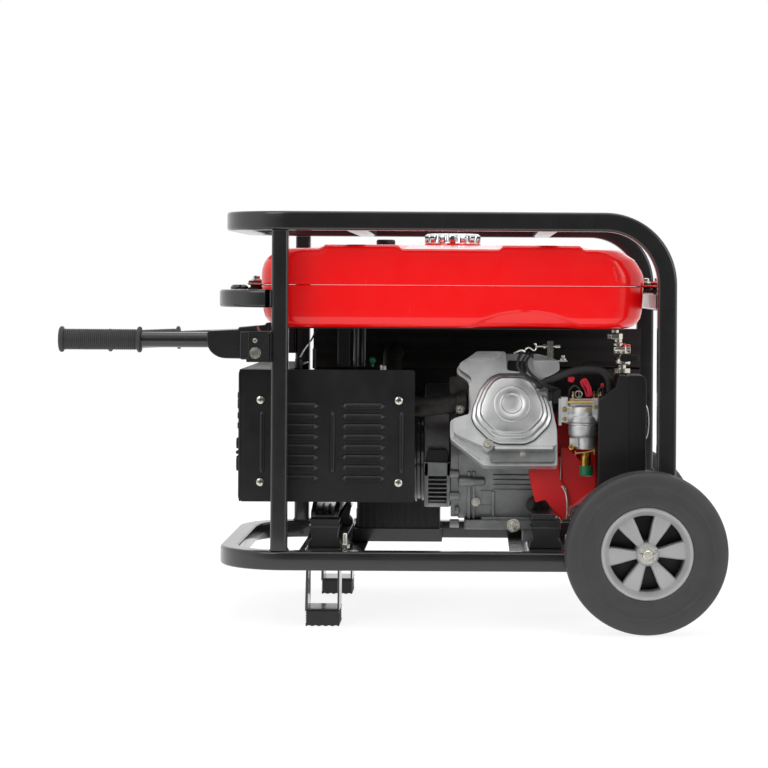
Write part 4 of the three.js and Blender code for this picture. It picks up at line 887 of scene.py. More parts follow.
# %% Handles
HANDLE_RISE = 19.5  # the tube's middle above the pivot
HANDLE_RADIUS, HANDLE_END = 12, 296
GRIP_START, GRIP_LENGTH, RIB_PITCH = 181, 128, 3.1
DROOP = {"front": 0.0, "rear": -2.5}  # degrees
for side_name, side in SIDES:
    body = f"handle_{side_name}"
    droop = DROOP[side_name]
    pivot = pivot_of(side_name, side)
    y = pivot.y
    swing = Matrix.Translation(pivot) @ Matrix.Rotation(math.radians(droop), 4,
                                                        "Y") @ Matrix.Translation(-pivot)
    axis_z = pivot.z + HANDLE_RISE
    tube_ends = [Vector((pivot.x - 60, y, axis_z)), Vector((pivot.x - HANDLE_END, y, axis_z))]
    tube = swept(circle(HANDLE_RADIUS, 40), tube_ends)
    quarter = [math.pi / 16 * i for i in range(9)]
    belly = [(pivot.x - 76 + 30 * (1 - math.cos(a)), 449 - 26 * math.sin(a)) for a in quarter]
    knuckle_outline = [(pivot.x + 9, 424), (pivot.x + 11, 440), (pivot.x + 8, 458), (pivot.x + 3, 470),
                       (pivot.x + 2, 475),
                       (pivot.x - 26, 472), (pivot.x - 28, 468.5), (pivot.x - 74, 466.5),
                       (pivot.x - 76, 464)]
    knuckle_outline += belly + [(pivot.x + 2, 422.4)]
    knuckle = extruded("Y", knuckle_outline, y - 16.8, y + 16.8)
    piece(f"handle_knuckle_and_tube_{side_name}", changed([tube, knuckle], swing), powder_coat, body,
          hides=f"handle_tube_{side_name}", edge=1.6)
    profile = [(12.2, 0), (19, 0), (20.4, 1.2), (20.4, 4), (19, 5.4), (16.6, 6.4)]
    station = 9.0
    while station < GRIP_LENGTH - 10:
        profile += [(15.3, station), (16.4, station + 0.7), (16.4, station + 1.8), (15.3, station + 2.5)]
        station += RIB_PITCH
    profile += [(16.6, 121), (19.6, 122.4), (20.4, 124), (20.4, 126), (18.5, GRIP_LENGTH), (0, GRIP_LENGTH)]
    grip = turned("X", [(r, -s) for r, s in profile], (pivot.x - GRIP_START, y, axis_z), 56)
    piece(f"ribbed_grip_{side_name}", changed([grip], swing), tyre_rubber, body,
          hides=f"handle_grip_{side_name}", edge=0, crease=50)
    low, high = span(f"handle_lock_pin_{side_name}")
    centre = (low + high) / 2
    inner, face = (high.y, low.y) if side < 0 else (low.y, high.y)
    pin = [turned("Y", [(0, inner - face), (4, inner - face), (4, -side * 2.4), (3.6, -side * 0.8),
                        (2.8, 0), (0, 0)],
                  (centre.x, face, centre.z), 32)]
    piece(f"spring_lock_pin_{side_name}", pin, zinc, f"lock_pin_{side_name}",
          hides=f"handle_lock_pin_{side_name}", edge=0.3)
count("handles")

# %% [markdown]
# ## The fuel tank
#
# The tank is two pans deep-drawn from sheet and seam-welded round a flange at mid height. A drawn pan
# never has a sharp edge, so each is lofted as a stack of rings round its plan. Every ring is cut into
# points 4 mm apart, close enough to draw the pressed pads on the lid and the arched hollow low on the
# side. A thin black mat is glued under the tank, against the heat of the engine.

# %% Drawn pans
TANK_LEFT, TANK_RIGHT, TANK_HALF, TANK_CORNER = -346, 268, 205, 48
TANK_FLOOR, SEAM, LID = 471, 539.4, 601
PLATEAU, PLATEAU_SHOULDER, PLATEAU_RISE, ENDS_DROP = (-250, 172), 10, 6.2, 3.4
SCALLOP, SCALLOP_SHOULDER = (-127, 43), 8
ARCH_MIDDLE, ARCH_CROWN, ARCH_HALF = 78, 499, 88


def spaced(outline, step):
    """The same closed outline with a point about every step."""
    dense = []
    for a, b in zip(outline, outline[1:] + outline[:1]):
        count = max(1, round(math.dist(a, b) / step))
        dense += [(a[0] + (b[0] - a[0]) * i / count, a[1] + (b[1] - a[1]) * i / count)
                  for i in range(count)]
    return dense


TANK_PLAN = spaced(rounded(TANK_LEFT, TANK_RIGHT, -TANK_HALF, TANK_HALF, TANK_CORNER, 12), 4)


def smooth(a, b, v):
    """0 up to a, 1 from b on, and an easy slope between."""
    t = min(1, max(0, (v - a) / (b - a)))
    return t * t * (3 - 2 * t)


def between(stops, v):
    """The values at v, read between stops of (position, value, ...)."""
    for low, high in zip(stops, stops[1:]):
        if v <= high[0]:
            t = (v - low[0]) / (high[0] - low[0])
            return [a + (b - a) * t for a, b in zip(low[1:], high[1:])]
    return list(stops[-1][1:])


def pan_ring(z, left, right, side):
    """The plan drawn in by its own amount at each end and at the sides."""
    half = (TANK_RIGHT - TANK_LEFT) / 2
    centre = (TANK_RIGHT + TANK_LEFT) / 2
    ring = []
    for x, y in TANK_PLAN:
        u = (x - centre) / half
        inset = right if u > 0 else left
        ring.append(Vector((centre + u * (half - inset), y * (1 - side / TANK_HALF), z)))
    return ring


def pressed_lid(p):
    """The lid's middle stands up, its ends lie lower, and a scallop is pressed beside the cap at each side."""
    (a, b), (c, d) = PLATEAU, SCALLOP
    plateau = smooth(a, a + PLATEAU_SHOULDER, p.x) - smooth(b - PLATEAU_SHOULDER, b, p.x)
    scallop = smooth(c, c + SCALLOP_SHOULDER, p.x) - smooth(d - SCALLOP_SHOULDER, d, p.x)
    raised = plateau - scallop * smooth(150, 175, abs(p.y))
    return p + Vector((0, 0, (raised * PLATEAU_RISE - ENDS_DROP) * smooth(578, 596, p.z)))


def arched_side(p):
    """A shallow hollow under a flat arch on the side of the lower pan."""
    off = abs(p.x - ARCH_MIDDLE)
    crown = ARCH_CROWN - 24 * min(1, off / ARCH_HALF) ** 2
    depth = (2.6 + 0.28 * max(0, crown - p.z)) * smooth(crown + 1.5, crown - 2.5, p.z)
    depth = depth * smooth(100, 140, abs(p.y)) * smooth(172, 160, off * 2)
    return p - Vector((0, math.copysign(depth, p.y), 0))


upper_stops = [(SEAM, 2, 2, 1.6), (SEAM + 1, 0.4, 0.4, 0.3), (543, 0, 0, 0), (556, 0, 0.8, 0),
               (564, 0.8, 4, 0), (574, 4, 10, 0.3),
               (582, 9, 15, 0.6), (590, 16, 24, 1.2), (595, 22, 30, 2.2), (598.5, 27, 35, 4),
               (600.4, 32, 38, 7), (LID, 38, 43, 14)]
heights = [SEAM, SEAM + 1, 543, 545, 550, 556, 560, 564, 569, 574, 578, 582, 586, 590, 593, 595, 597,
           598.5, 599.6, 600.4, LID]
rings = [pan_ring(z, *between(upper_stops, z)) for z in heights]
rings += [pan_ring(LID, inset + 6, inset + 6, inset) for inset in (60, 90, 120, 150, 180)]
shell = bridged([[pressed_lid(p) for p in ring] for ring in rings])
bead = rounded(-2.2, 2.2, -3.5, 3.5, 1.6, 4)
beads = [swept(bead, [Vector((222, y, 546)), Vector((216, y, 571))], up=(0, 1, 0)) for y in (-TANK_HALF,
    TANK_HALF)]
fitted("tank_upper_pan", [shell] + beads, tank_enamel, hides="tank_upper_shell", edge=0, crease=38)

# %% The lower pan and its mat
lower_stops = [(TANK_FLOOR, 44, 36, 22), (472, 30, 26, 14), (475, 19, 17, 8), (480, 12, 11, 4),
               (488, 6, 5.5, 1.8), (498, 3, 3, 1),
               (520, 1.4, 1.4, 0.6), (SEAM - 2, 0.6, 0.6, 0.4), (SEAM - 0.6, 2.4, 2.4, 2)]
heights = [TANK_FLOOR, 471.5, 472, 473, 474, 475, 477, 479, 481, 483.5] + [486 + 2 * i
    for i in range(10)] + [512, 524, SEAM - 2, SEAM - 0.6]
rings = [pan_ring(TANK_FLOOR, inset + 8, inset + 8, inset) for inset in (180, 140, 100, 60)]
rings += [pan_ring(z, *between(lower_stops, z)) for z in heights]
shell = bridged([[arched_side(p) for p in ring] for ring in rings])
fitted("tank_lower_pan", [shell], tank_enamel, hides="tank_lower_shell", edge=0, crease=38)
mat = rounded(TANK_LEFT + 34, TANK_RIGHT - 30, -TANK_HALF + 18, TANK_HALF - 18, 40, 8)
fitted("heat_mat_under_tank", [extruded("Z", mat, TANK_FLOOR - 1.4, TANK_FLOOR + 0.2)], rubber, edge=0.5)
count("tank")

# %% [markdown]
# The tank hangs on three tabs, each bolted down through a rubber bush so that the engine's shake stays
# out of it.

# %% Tabs and bolts
TABS = (("left", -370, 0, TANK_LEFT, -1), ("front", 293, -140, TANK_RIGHT, 1),
        ("rear", 293, 140, TANK_RIGHT, 1))
for name, x, y, root, out in TABS:
    ends = sorted((root - out * 14, x + out * 14))
    outline = rounded(ends[0], ends[1], y - 20, y + 20, 13, 8)
    tab = extruded("Z", outline, 539.3, 541.4)
    fitted(f"tank_tab_{name}", [tab], tank_enamel, edge=0.6)
    bush = turned("Z", [(5, 529), (13.5, 529), (13.5, 533), (9.5, 535), (9.5, 537.4), (14, 539),
                        (14, 539.2), (5, 539.2)],
                  (x, y, 0), 40, loop=True)
    top_bush = turned("Z", [(4.5, 541.5), (13, 541.5), (13, 544.2), (12, 545), (4.5, 545)], (x, y, 0), 40,
                      loop=True)
    fitted(f"tank_bush_{name}", [bush, top_bush], rubber, edge=0.3)
    washer = collar("Z", 3.5, 12.6, 545, 546.5, (x, y, 0), 40)
    fitted(f"tank_bolt_{name}", [washer] + flange_bolt((x, y, 546.5), "Z", 11, 5.4), zinc, edge=0.3)

count("tabs, bushes and bolts")

# %% [markdown]
# The cap is spun from sheet, chrome plated, and pressed with notches for the fingers. It is one stack of
# rings, each notched to its own depth. Under it is the filler neck with its strainer, whose bars lie on a
# solid black disc that is painted shade for the open mouth. A float gauge is let into the lid beside it.

# %% Cap, neck and gauge
cap_x = middle("fuel_cap").x
NOTCHES = 16


def notched(radius, depth, z, sides=192):
    """A ring of the cap, with finger notches pressed in by depth."""
    ring = []
    for i in range(sides):
        a = 2 * math.pi * i / sides
        wave = 0.5 + 0.5 * math.cos(NOTCHES * a)
        r = radius - depth * (1 - min(1, wave * 2.2))
        ring.append(Vector((cap_x + r * math.cos(a), r * math.sin(a), z)))
    return ring


cap_low, cap_high = span("fuel_cap")
top = cap_high.z
skirt = ((46.0, 0, 0), (46.9, 0, 1), (46.9, 0, 3.6), (45.6, 0, 4.4), (46.6, 2.6, 5.6))
crown = ((46.6, 3.2, 5), (45.6, 2.8, 2.2), (43, 1.2, 0.5), (40, 0, 0), (33, 0, 0), (31, 0, 1.6),
         (27, 0, 1.8),
         (24, 0, 0.4), (8, 0, 0))
rings = [notched(radius, depth, cap_low.z + above) for radius, depth, above in skirt]
rings += [notched(radius, depth, top - below) for radius, depth, below in crown]
piece("chromed_fuel_cap", [bridged(rings)], chrome, "cap", hides="fuel_cap", edge=0, crease=50)
seal = turned("Z", [(0, 605.2), (37.4, 605.2), (37.8, 606), (37.8, 608), (0, 608)], (cap_x, 0, 0), 64)
piece("fuel_cap_seal", [seal], rubber, "cap_gasket", hides="fuel_cap_gasket", edge=0)
neck = turned("Z", [(34, 596), (40, 596), (43, 599.4), (39, 600.6), (38, 602), (38, 604.4), (37, 605),
                    (36, 604.4), (36, 597)],
              (cap_x, 0, 0), 72, loop=True)
piece("filler_neck_ring", [neck], tank_enamel, edge=0)
# the strainer's bars over a solid black disc: painted shade in the filler mouth
strainer_over_mouth_shade = [turned("Z", [(0, 603.6), (28, 603.6), (29, 604.4), (33.6, 604.8), (33.6, 603), (0, 603)],
                   (cap_x, 0, 0), 64)]
STRAINER, BAR_PITCH = 27, 6
for k in range(-4, 5):  # the bars of the strainer
    reach, x = math.sqrt(STRAINER ** 2 - (BAR_PITCH * k) ** 2), cap_x + BAR_PITCH * k
    strainer_over_mouth_shade.append(brick((x - 0.7, -reach, 603), (x + 0.7, reach, 604.3)))
piece("fuel_strainer_on_mouth_shade", strainer_over_mouth_shade, abs_black, edge=0)

gauge_x = CRADLE_X - 153
ring = turned("Z", [(12, 606), (15.5, 606), (15.8, 612), (15, 614.5), (13.2, 615.4), (12, 614.6)],
              (gauge_x, 0, 0), 56, loop=True)
seat = turned("Z", [(0, 600), (20, 600), (20, 604.6), (18, 606.4), (0, 606.4)], (gauge_x, 0, 0), 56)
piece("fuel_gauge_bezel", [ring, seat], abs_black, edge=0.3)
dial = turned("Z", [(0, 607), (12.2, 607), (12.2, 613), (0, 613.4)], (gauge_x, 0, 0), 56)
needle = brick((gauge_x - 1, -9, 613.2), (gauge_x + 1, 4, 614))
piece("fuel_gauge_dial", [dial], nylon_white, edge=0.2)
piece("fuel_gauge_needle", [needle], nylon_red, edge=0.3)
count("cap, neck and gauge")

# %% [markdown]
# ## The control end
#
# Sheet-steel covers close the alternator's side and carry the outlets. The louvres are lanced and pushed
# out in one stroke, eight to a column, each a hood with a mouth below. The upright beads are there to
# stiffen the flat sheet.

# %% Louvre and bead
FACE_Y = -200
QUARTER = [k / 6 * math.pi / 2 for k in range(7)]


def louvre(x0, x1, z, rise=4.6, height=10.5):
    """A pressed hood: it swells from the sheet and ends in a straight lower lip."""
    rings = []
    stations = 30
    for i in range(stations + 1):
        u = i / stations
        swell = max(0.02, min(1, math.sin(math.pi * u) * 3.4))
        x = x0 + (x1 - x0) * u
        ring = [Vector((x, FACE_Y + 0.6, z + height * 0.5 * (0.5 + 0.5 * swell)))]
        for a in QUARTER:
            fall = z + height * (0.5 - 0.9 * (1 - math.cos(a))) * swell
            ring.append(Vector((x, FACE_Y - rise * swell * math.sin(a), fall)))
        ring.append(Vector((x, FACE_Y + 0.6, z - height * 0.4 * swell)))
        rings.append(ring)
    return bridged(rings)


def bead_rib(x, z0, z1, rise=3.4, half=4.4):
    """A long pressed bead with round ends."""
    rings = []
    for i in range(25):
        u = i / 24
        z = z0 + (z1 - z0) * u
        end = min(1.0, min(z - z0, z1 - z) / half)
        swell = max(0.05, math.sqrt(max(0.0, 1 - (1 - end) ** 2)))
        rings.append([Vector((x + half * swell * math.cos(a),
                              FACE_Y + 0.5 - (rise + 0.5) * swell * math.sin(a), z))
                      for a in [math.pi * k / 10 for k in range(11)]])
    return bridged(rings)


# %% Louvred side cover
COVER_LEFT, COVER_RIGHT, COVER_LOW, COVER_HIGH = -374.6, -98, 194, 404
LOUVRES, LOUVRE_PITCH, LOWEST_LOUVRE = 8, 16.4, 232
SCREWS = [(x, z) for x in (-342.6, -123) for z in (225, 355.6)]
sheet_outline = rounded(COVER_LEFT, COVER_RIGHT, COVER_LOW, COVER_HIGH, 3, 4)
cover = [extruded("Y", sheet_outline, FACE_Y, FACE_Y + 2)]
fold = [(COVER_RIGHT - 2, FACE_Y + 1), (COVER_RIGHT, FACE_Y + 1.4), (COVER_RIGHT, FACE_Y + 16),
        (COVER_RIGHT - 2, FACE_Y + 16)]
cover.append(extruded("Z", fold, COVER_LOW + 4, COVER_HIGH - 4))
cover.append(brick((-296, FACE_Y + 1, COVER_HIGH - 2), (COVER_RIGHT - 3, FACE_Y + 14, COVER_HIGH)))
for x in (-340, -228, -118.5):
    cover.append(bead_rib(x, 238, 339))
for x0, x1 in ((-322, -250), (-215.5, -144)):
    for row in range(LOUVRES):
        cover.append(louvre(x0, x1, LOWEST_LOUVRE + LOUVRE_PITCH * row))
fitted("louvred_side_cover", cover, sheet_coat, hides="alternator_side_cover", edge=0.35, crease=46)

dome = [(0, 0), (7, 0), (6.9, -1.6), (6, -3), (4, -3.9), (0, -4.2)]
fitted("cover_screws", [turned("Y", dome, (x, FACE_Y, z), 36) for x, z in SCREWS], zinc, edge=0)
# the cross recesses of the screws, drawn in dark iron as painted shade
recess_shades = []
for x, z in SCREWS:
    for a, b in ((3.4, 0.6), (0.6, 3.4)):
        recess_shades.append(brick((x - a, FACE_Y - 4.35, z - b), (x + a, FACE_Y - 2, z + b)))
fitted("cover_screw_recess_shade", recess_shades, scaled_iron, edge=0)
count("side cover")

# %% [markdown]
# The box behind the panel is a folded tray, open towards the alternator. The panel itself is a moulded
# plate with four covered outlets, a key switch, a breaker, a voltmeter, a pilot lamp and two terminals.
# Plain marks stand for the printed scale of the meter; nothing is lettered.

# %% Control box
BOX_LEFT, BOX_RIGHT, BOX_HALF, BOX_LOW, BOX_HIGH = -374.4, -296, 199.9, 194, 404
tray_outer = rounded(-BOX_HALF + 2.3, BOX_HALF, BOX_LOW, BOX_HIGH, 5, 4)
tray_inner = rounded(-BOX_HALF + 4.3, BOX_HALF - 2, BOX_LOW + 2, BOX_HIGH - 2, 3, 4)
rings = []
for x, outline in ((BOX_LEFT, tray_inner), (BOX_LEFT, tray_outer), (BOX_RIGHT, tray_outer),
                   (BOX_RIGHT, tray_inner)):
    rings.append([Vector((x, a, b)) for a, b in outline])
points, faces = bridged(rings, caps=False)
n = len(tray_outer)
faces += [(i, (i + 1) % n, 3 * n + (i + 1) % n, 3 * n + i) for i in range(n)]
fitted("folded_control_box", [(points, faces)], sheet_coat, hides="control_box", edge=0.4)

# %% Outlet panel
PANEL_X = -377
panel = [extruded("X", rounded(-200, 200, BOX_LOW, BOX_HIGH, 6, 5), PANEL_X, PANEL_X + 2.2)]
outside, inside = rounded(-196, 196, 198, 400, 5, 5), rounded(-190, 190, 204, 394, 4, 5)
rim = []
for x, outline in ((0.4, outside), (-1.4, outside), (-1.4, inside), (0.4, inside)):
    rim.append([Vector((PANEL_X + x, a, b)) for a, b in outline])
panel.append(bridged(rim, caps=False))
for y in (-150, -60, 30, 120):  # the spring lids of the outlets, each with its hinge barrel above
    panel.append(extruded("X", rounded(y - 24, y + 24, 240, 264, 8, 6), PANEL_X - 7, PANEL_X + 1))
    panel.append(extruded("X", rounded(y - 24, y + 24, 276, 293, 6, 6), PANEL_X - 7, PANEL_X + 1))
    panel.append(extruded("X", rounded(y - 29, y + 29, 232, 298, 10, 6), PANEL_X - 2, PANEL_X + 1))
    panel.append(rod("Y", 3, -20, 20, (PANEL_X - 5, y, 270), 16))
fitted("outlet_panel", panel, abs_black, hides="control_panel", edge=0.7)

# %% Meter, lamp and terminals
METER_Y, METER_Z, SCALE_Z, SCALE_RADIUS, MARK = 125, 352, 345, 17, 3.4
instruments = [turned("X", [(24, 0), (27, 0), (27, -3), (25.6, -4.4), (24, -3.6)],
                      (PANEL_X, METER_Y, METER_Z), 64, loop=True)]
for y, z in ((-150, 350), (-120, 350)):  # terminals of the direct-current side
    instruments.append(turned("X", [(0, 0), (8, 0), (8, -3), (5, -3.4), (5, -7), (0, -7)], (PANEL_X, y, z),
                              32))
for z in (314, 330, 346, 362):  # small breakers down the edge of the panel
    instruments.append(extruded("X", rounded(-190, -178, z - 5, z + 5, 3, 4), PANEL_X - 3.4, PANEL_X + 1))
fitted("panel_instruments", instruments, abs_black, edge=0.4)
fitted("voltmeter_face", [rod("X", 24.2, 0, -1.6, (PANEL_X, METER_Y, METER_Z), 64)], nylon_white, edge=0)
marks = []
for k in range(9):
    a = math.radians(30 + 15 * k)
    mark = [(PANEL_X - 1.7, METER_Y + reach * math.cos(a), SCALE_Z + reach * math.sin(a))
            for reach in (SCALE_RADIUS, SCALE_RADIUS + MARK / 2, SCALE_RADIUS + MARK)]
    marks.append(hose(mark, 0.5, 6, 2))
marks.append(hose([(PANEL_X - 2, 125, 343), (PANEL_X - 2, 118, 351), (PANEL_X - 2, 111, 359)], 0.6, 6, 2))
fitted("voltmeter_scale_and_needle", marks, abs_black, edge=0)
lamp = turned("X", [(0, 0), (5, 0), (5, -2), (4, -4.5), (2, -5.8), (0, -6.2)], (PANEL_X, 75, 350), 32)
fitted("pilot_lamp", [lamp], nylon_green, edge=0)
corner_screws = [turned("X", [(0, 0), (4.4, 0), (4.2, -1), (2.6, -2.1), (0, -2.4)], (PANEL_X, y, z), 28)
                 for y in (-186, 186) for z in (208, 390)]
fitted("panel_corner_screws", corner_screws, zinc, edge=0)

# %% Key switch and breaker
KEY_Y, KEY_Z = -60, 350
key = [turned("X", [(0, 0), (14, 0), (14, -3.4), (12.6, -5.2), (0, -5.6)], (PANEL_X - 0.3, KEY_Y, KEY_Z),
              48),
       rod("X", 5.4, 0, 12, (PANEL_X, KEY_Y, KEY_Z), 24)]
wing = ((-2, 1), (-2.4, 7), (-1, 9), (1, 9), (2.4, 7), (2, 1))
for sign in (-1, 1):
    key.append(extruded("X", [(KEY_Y + a, KEY_Z + sign * b) for a, b in wing], PANEL_X - 16, PANEL_X - 5))
key.append(brick((PANEL_X - 15, KEY_Y - 2, KEY_Z - 5), (PANEL_X - 5, KEY_Y + 2, KEY_Z + 5)))
fitted("engine_key_switch", key, abs_black, "switch", hides="engine_switch", edge=0.6)
button = [turned("X", [(0, -5.8), (3.6, -5.6), (5, -4.6), (5.4, -3), (5.4, 10), (8, 10.2), (8, 14),
                       (0, 14)],
                 (PANEL_X, 40, 350), 32)]
fitted("breaker_push_button", button, nylon_red, "breaker", hides="breaker_button", edge=0)
count("box, panel and switches")

# %% [markdown]
# ## The engine
#
# The cylinder leans 20 degrees towards the carburettor. Its parts are drawn upright round the crankshaft
# and then leaned together, which keeps their faces square to the cylinder as they are machined.

# %% Leaning the cylinder
SHAFT_Y, SHAFT_Z = 25, 270
LEAN_DEGREES = 20
LEAN = Matrix.Translation((CRADLE_X, SHAFT_Y, SHAFT_Z)) @ Matrix.Rotation(math.radians(-LEAN_DEGREES), 4,
    "X")


def leant(name, shells, finish, **more):
    """A piece drawn upright round the crankshaft and leaned with the cylinder."""
    return piece(name, changed(shells, LEAN), finish, **more)


def softened(outline, step=2.0, rounds=8):
    """A closed outline with its corners rubbed round."""
    pts = spaced(outline, step)
    for _ in range(rounds):
        pts = [((a[0] + 2 * b[0] + c[0]) / 4, (a[1] + 2 * b[1] + c[1]) / 4)
               for a, b, c in zip(pts[-1:] + pts[:-1], pts, pts[1:] + pts[:1])]
    return pts


def shrunk(outline, by):
    """An outline drawn in by a distance, towards its own inside."""
    out = []
    area = sum(a[0] * b[1] - b[0] * a[1] for a, b in zip(outline, outline[1:] + outline[:1]))
    turn = 1 if area > 0 else -1
    for a, b, c in zip(outline[-1:] + outline[:-1], outline, outline[1:] + outline[:1]):
        d = Vector((c[0] - a[0], c[1] - a[1])).normalized()
        out.append((b[0] - d.y * by * turn, b[1] + d.x * by * turn))
    return out


def stacked(levels):
    """Rings of (outline, distance) along the cylinder's axis, which points to -Y before the lean."""
    return bridged([[Vector((x, -along, z)) for x, z in outline] for outline, along in levels])


# %% [markdown]
# The rocker cover is pressed from thick sheet: a flat rim where it bolts down over its gasket, a steep
# wall, a broad plateau, and a dished boss in the middle. The rings below follow the press tool from the
# rim inwards, and turn from the seven-sided rim to a true circle at the dish.

# %% Rocker cover and its gasket
ROCKER_X = 57
ROCKER_RISE = 6  # the dish sits this far above the cylinder's axis
SEVEN_SIDES = [(-22, 55), (20, 55), (36, 48), (48, 33), (61, 2), (64, -16), (58, -30), (36, -52),
               (22, -58), (-20, -58),
               (-36, -52), (-58, -30), (-64, -18), (-62, 0), (-50, 30), (-36, 48)]
rim = softened([(ROCKER_X + x, z * 1.04 + ROCKER_RISE) for x, z in SEVEN_SIDES], 2.0, 5)


def inward(by):
    """The rim drawn in towards the dish."""
    return [(ROCKER_X + (x - ROCKER_X) * by, ROCKER_RISE + (z - ROCKER_RISE) * by) for x, z in rim]


def round_ring(radius):
    """A circle with a point for each point of the rim."""
    spots = []
    for x, z in rim:
        a = math.atan2(z - ROCKER_RISE, x - ROCKER_X)
        spots.append((ROCKER_X + radius * math.cos(a), ROCKER_RISE + radius * math.sin(a)))
    return spots


press = ((0.97, 197), (1, 197.4), (1, 200.8), (0.99, 201.6), (0.93, 201.8), (0.915, 202.4), (0.90, 208.6),
         (0.885, 210.4), (0.865, 211), (0.81, 211.6), (0.795, 212.4), (0.785, 216.6), (0.77, 217.8),
         (0.75, 218.2))
dish = ((33, 219), (30.4, 219.2), (29.6, 221.4), (28.6, 221.8), (17.4, 221.8), (16.6, 221.2), (15.8, 218.8),
        (14.8, 218.4), (5, 218.4), (1, 218.4))
levels = [(inward(by), along) for by, along in press] + [(round_ring(radius), along) for radius,
                                                         along in dish]
leant("pressed_rocker_cover", [stacked(levels)], pressed_aluminium, hides="rocker_cover", edge=0, crease=60)
gasket_rings = [(inward(0.9), 195.6), (inward(1.018), 195.6), (inward(1.018), 197.3), (inward(0.9), 197.3)]
leant("rocker_gasket", [stacked(gasket_rings)], rubber, edge=0)
nipple = turned("X", [(0, 38), (4.2, 38), (4.2, 52), (5, 53), (5, 55.5), (0, 56)], (ROCKER_X, -210, 27), 24)
leant("breather_nipple", [nipple], blasted_cast, edge=0)
count("rocker cover")

# %% [markdown]
# The guide round the head is a die casting in steps: a wide base, a narrower face, a ledge across the
# lower front with the lip under it turned away from the light and drawn in the darker shot-blasted finish
# as painted shade, and a notch at the top where the leads pass. A black plate set behind the notch is a
# painted shadow that gives it the depth that the real casting has.

# %% Head guide
guide = [(2, 105), (84, 105), (101, 88), (122, 40), (124, 10), (131, -24), (131, -84), (12, -84),
         (-42, -40), (-42, -8),
         (-12, 0), (-12, 56), (-32, 70), (-32, 82)]
base = softened(guide, 2.5, 5)
face = [(2, 102), (48, 102), (49, 70), (84, 66), (104, 50), (120, 38), (122, 8), (129, -24), (129, -57),
        (9, -57), (-36, -36), (-38, -12),
        (-8, -3), (-8, 58), (-28, 72), (-28, 81)]
front = softened(face, 2.5, 4)
shells = [stacked([(base, 154.5), (base, 175)]), stacked([(front, 172), (front, 195.8)])]
# the lip is the same casting, drawn in the darker shot-blasted finish as painted shade
shaded_lip = softened([(20, -55), (127, -55), (127, -80), (22, -80)], 2.5, 4)
leant("head_guide_lower_lip_painted_shade", [stacked([(shaded_lip, 172), (shaded_lip, 183.4)])], blasted_cast, edge=1.4)
ledge = softened([(30, -57.6), (124, -57.6), (124, -62.5), (30, -62.5)], 1.5, 2)
shells.append(stacked([(ledge, 180), (ledge, 197.4)]))
hump = softened([(0, 101), (42, 101), (36, 90), (-16, 86)], 2.5, 3)
shells.append(stacked([(hump, 195), (hump, 199.4)]))
for offset in (0, 8, 16):  # ribs down the slanting flank
    shift = offset * 0.2
    flank = [(-40 + shift, -36 - shift), (8, -78 + shift), (10, -75 + shift), (-38, -34 - shift)]
    shells.append(stacked([(flank, 158 + offset), (flank, 162 + offset)]))
boss = [(20 + a, -55 + b) for a, b in circle(9, 32)]
shells.append(stacked([(boss, 180), (boss, 196), (shrunk(boss, 1.2), 197.4)]))
leant("die_cast_head_guide", shells, die_cast, hides="cylinder_head_shroud", edge=1.4, crease=40)
# a black plate behind the notch: a painted shadow for its depth
notch_shadow_outline = softened([(50, 71), (82, 68), (80, 92), (51, 93)], 2, 2)
leant("guide_notch_shadow", [stacked([(notch_shadow_outline, 174), (notch_shadow_outline, 177)])], abs_black, edge=0.4)
bolts = []
for x, z, across, deep in ((20, -55, 11, 197), (75, -67, 6, 183), (-30, 20, 8, 173)):
    bolts += flange_bolt((x, -deep, z), "Y", across, across * 0.4, -1)
leant("guide_bolts", bolts, zinc, edge=0.3)

# %% Finned barrel
FINS, FIN_PITCH, FIN, FIRST_FIN = 6, 4.6, 1.8, 127.5
fin = rounded(-5, 111, -48, 70, 10, 5)
fins = [stacked([(fin, FIRST_FIN + FIN_PITCH * k), (fin, FIRST_FIN + FIN + FIN_PITCH * k)])
        for k in range(FINS)]
core = rounded(4, 102, -40, 62, 12, 5)
fins.append(stacked([(core, 126), (core, 153.8)]))
leant("finned_cylinder_barrel", fins, blasted_cast, hides="cylinder_barrel", edge=0.5)
count("head guide and barrel")

# %% [markdown]
# The crankcase is a sand-grey casting with a side cover bolted on at the alternator end, stiffening ribs, a
# filler boss and a foot flange with the drain bolt.

# %% Crankcase
CASE_LEFT, CASE_RIGHT, CASE_FRONT, CASE_BACK, CASE_LOW = -41, 129, -92, 112, 158


def leaned(along, up):
    """Where a point beside the cylinder comes to lie, as Y and Z."""
    c, s = math.cos(math.radians(LEAN_DEGREES)), math.sin(math.radians(LEAN_DEGREES))
    return SHAFT_Y - along * c + up * s, SHAFT_Z + along * s + up * c


profile = [(CASE_FRONT, CASE_LOW), leaned(125.5, -50), leaned(125.5, 58), (CASE_BACK - 40, 345),
           (CASE_BACK, 305),
           (CASE_BACK, CASE_LOW)]
case = [extruded("X", softened(profile, 3, 5), CASE_LEFT + 12, CASE_RIGHT)]
cover_profile = softened([(a * 0.985 + 0.3, b + (2 if b < 200 else -3)) for a, b in profile], 3, 6)
case.append(extruded("X", cover_profile, CASE_LEFT, CASE_LEFT + 14))
case.append(extruded("Z", rounded(-19, 111, -108, 128, 8, 4), 142, 157))
case.append(extruded("Z", rounded(8, 120, -99, 118, 6, 4), 155, 161.5))


def wall(z):
    """The front wall leans out as it rises to the cylinder."""
    return CASE_FRONT - 18 * (z - CASE_LOW) / 108


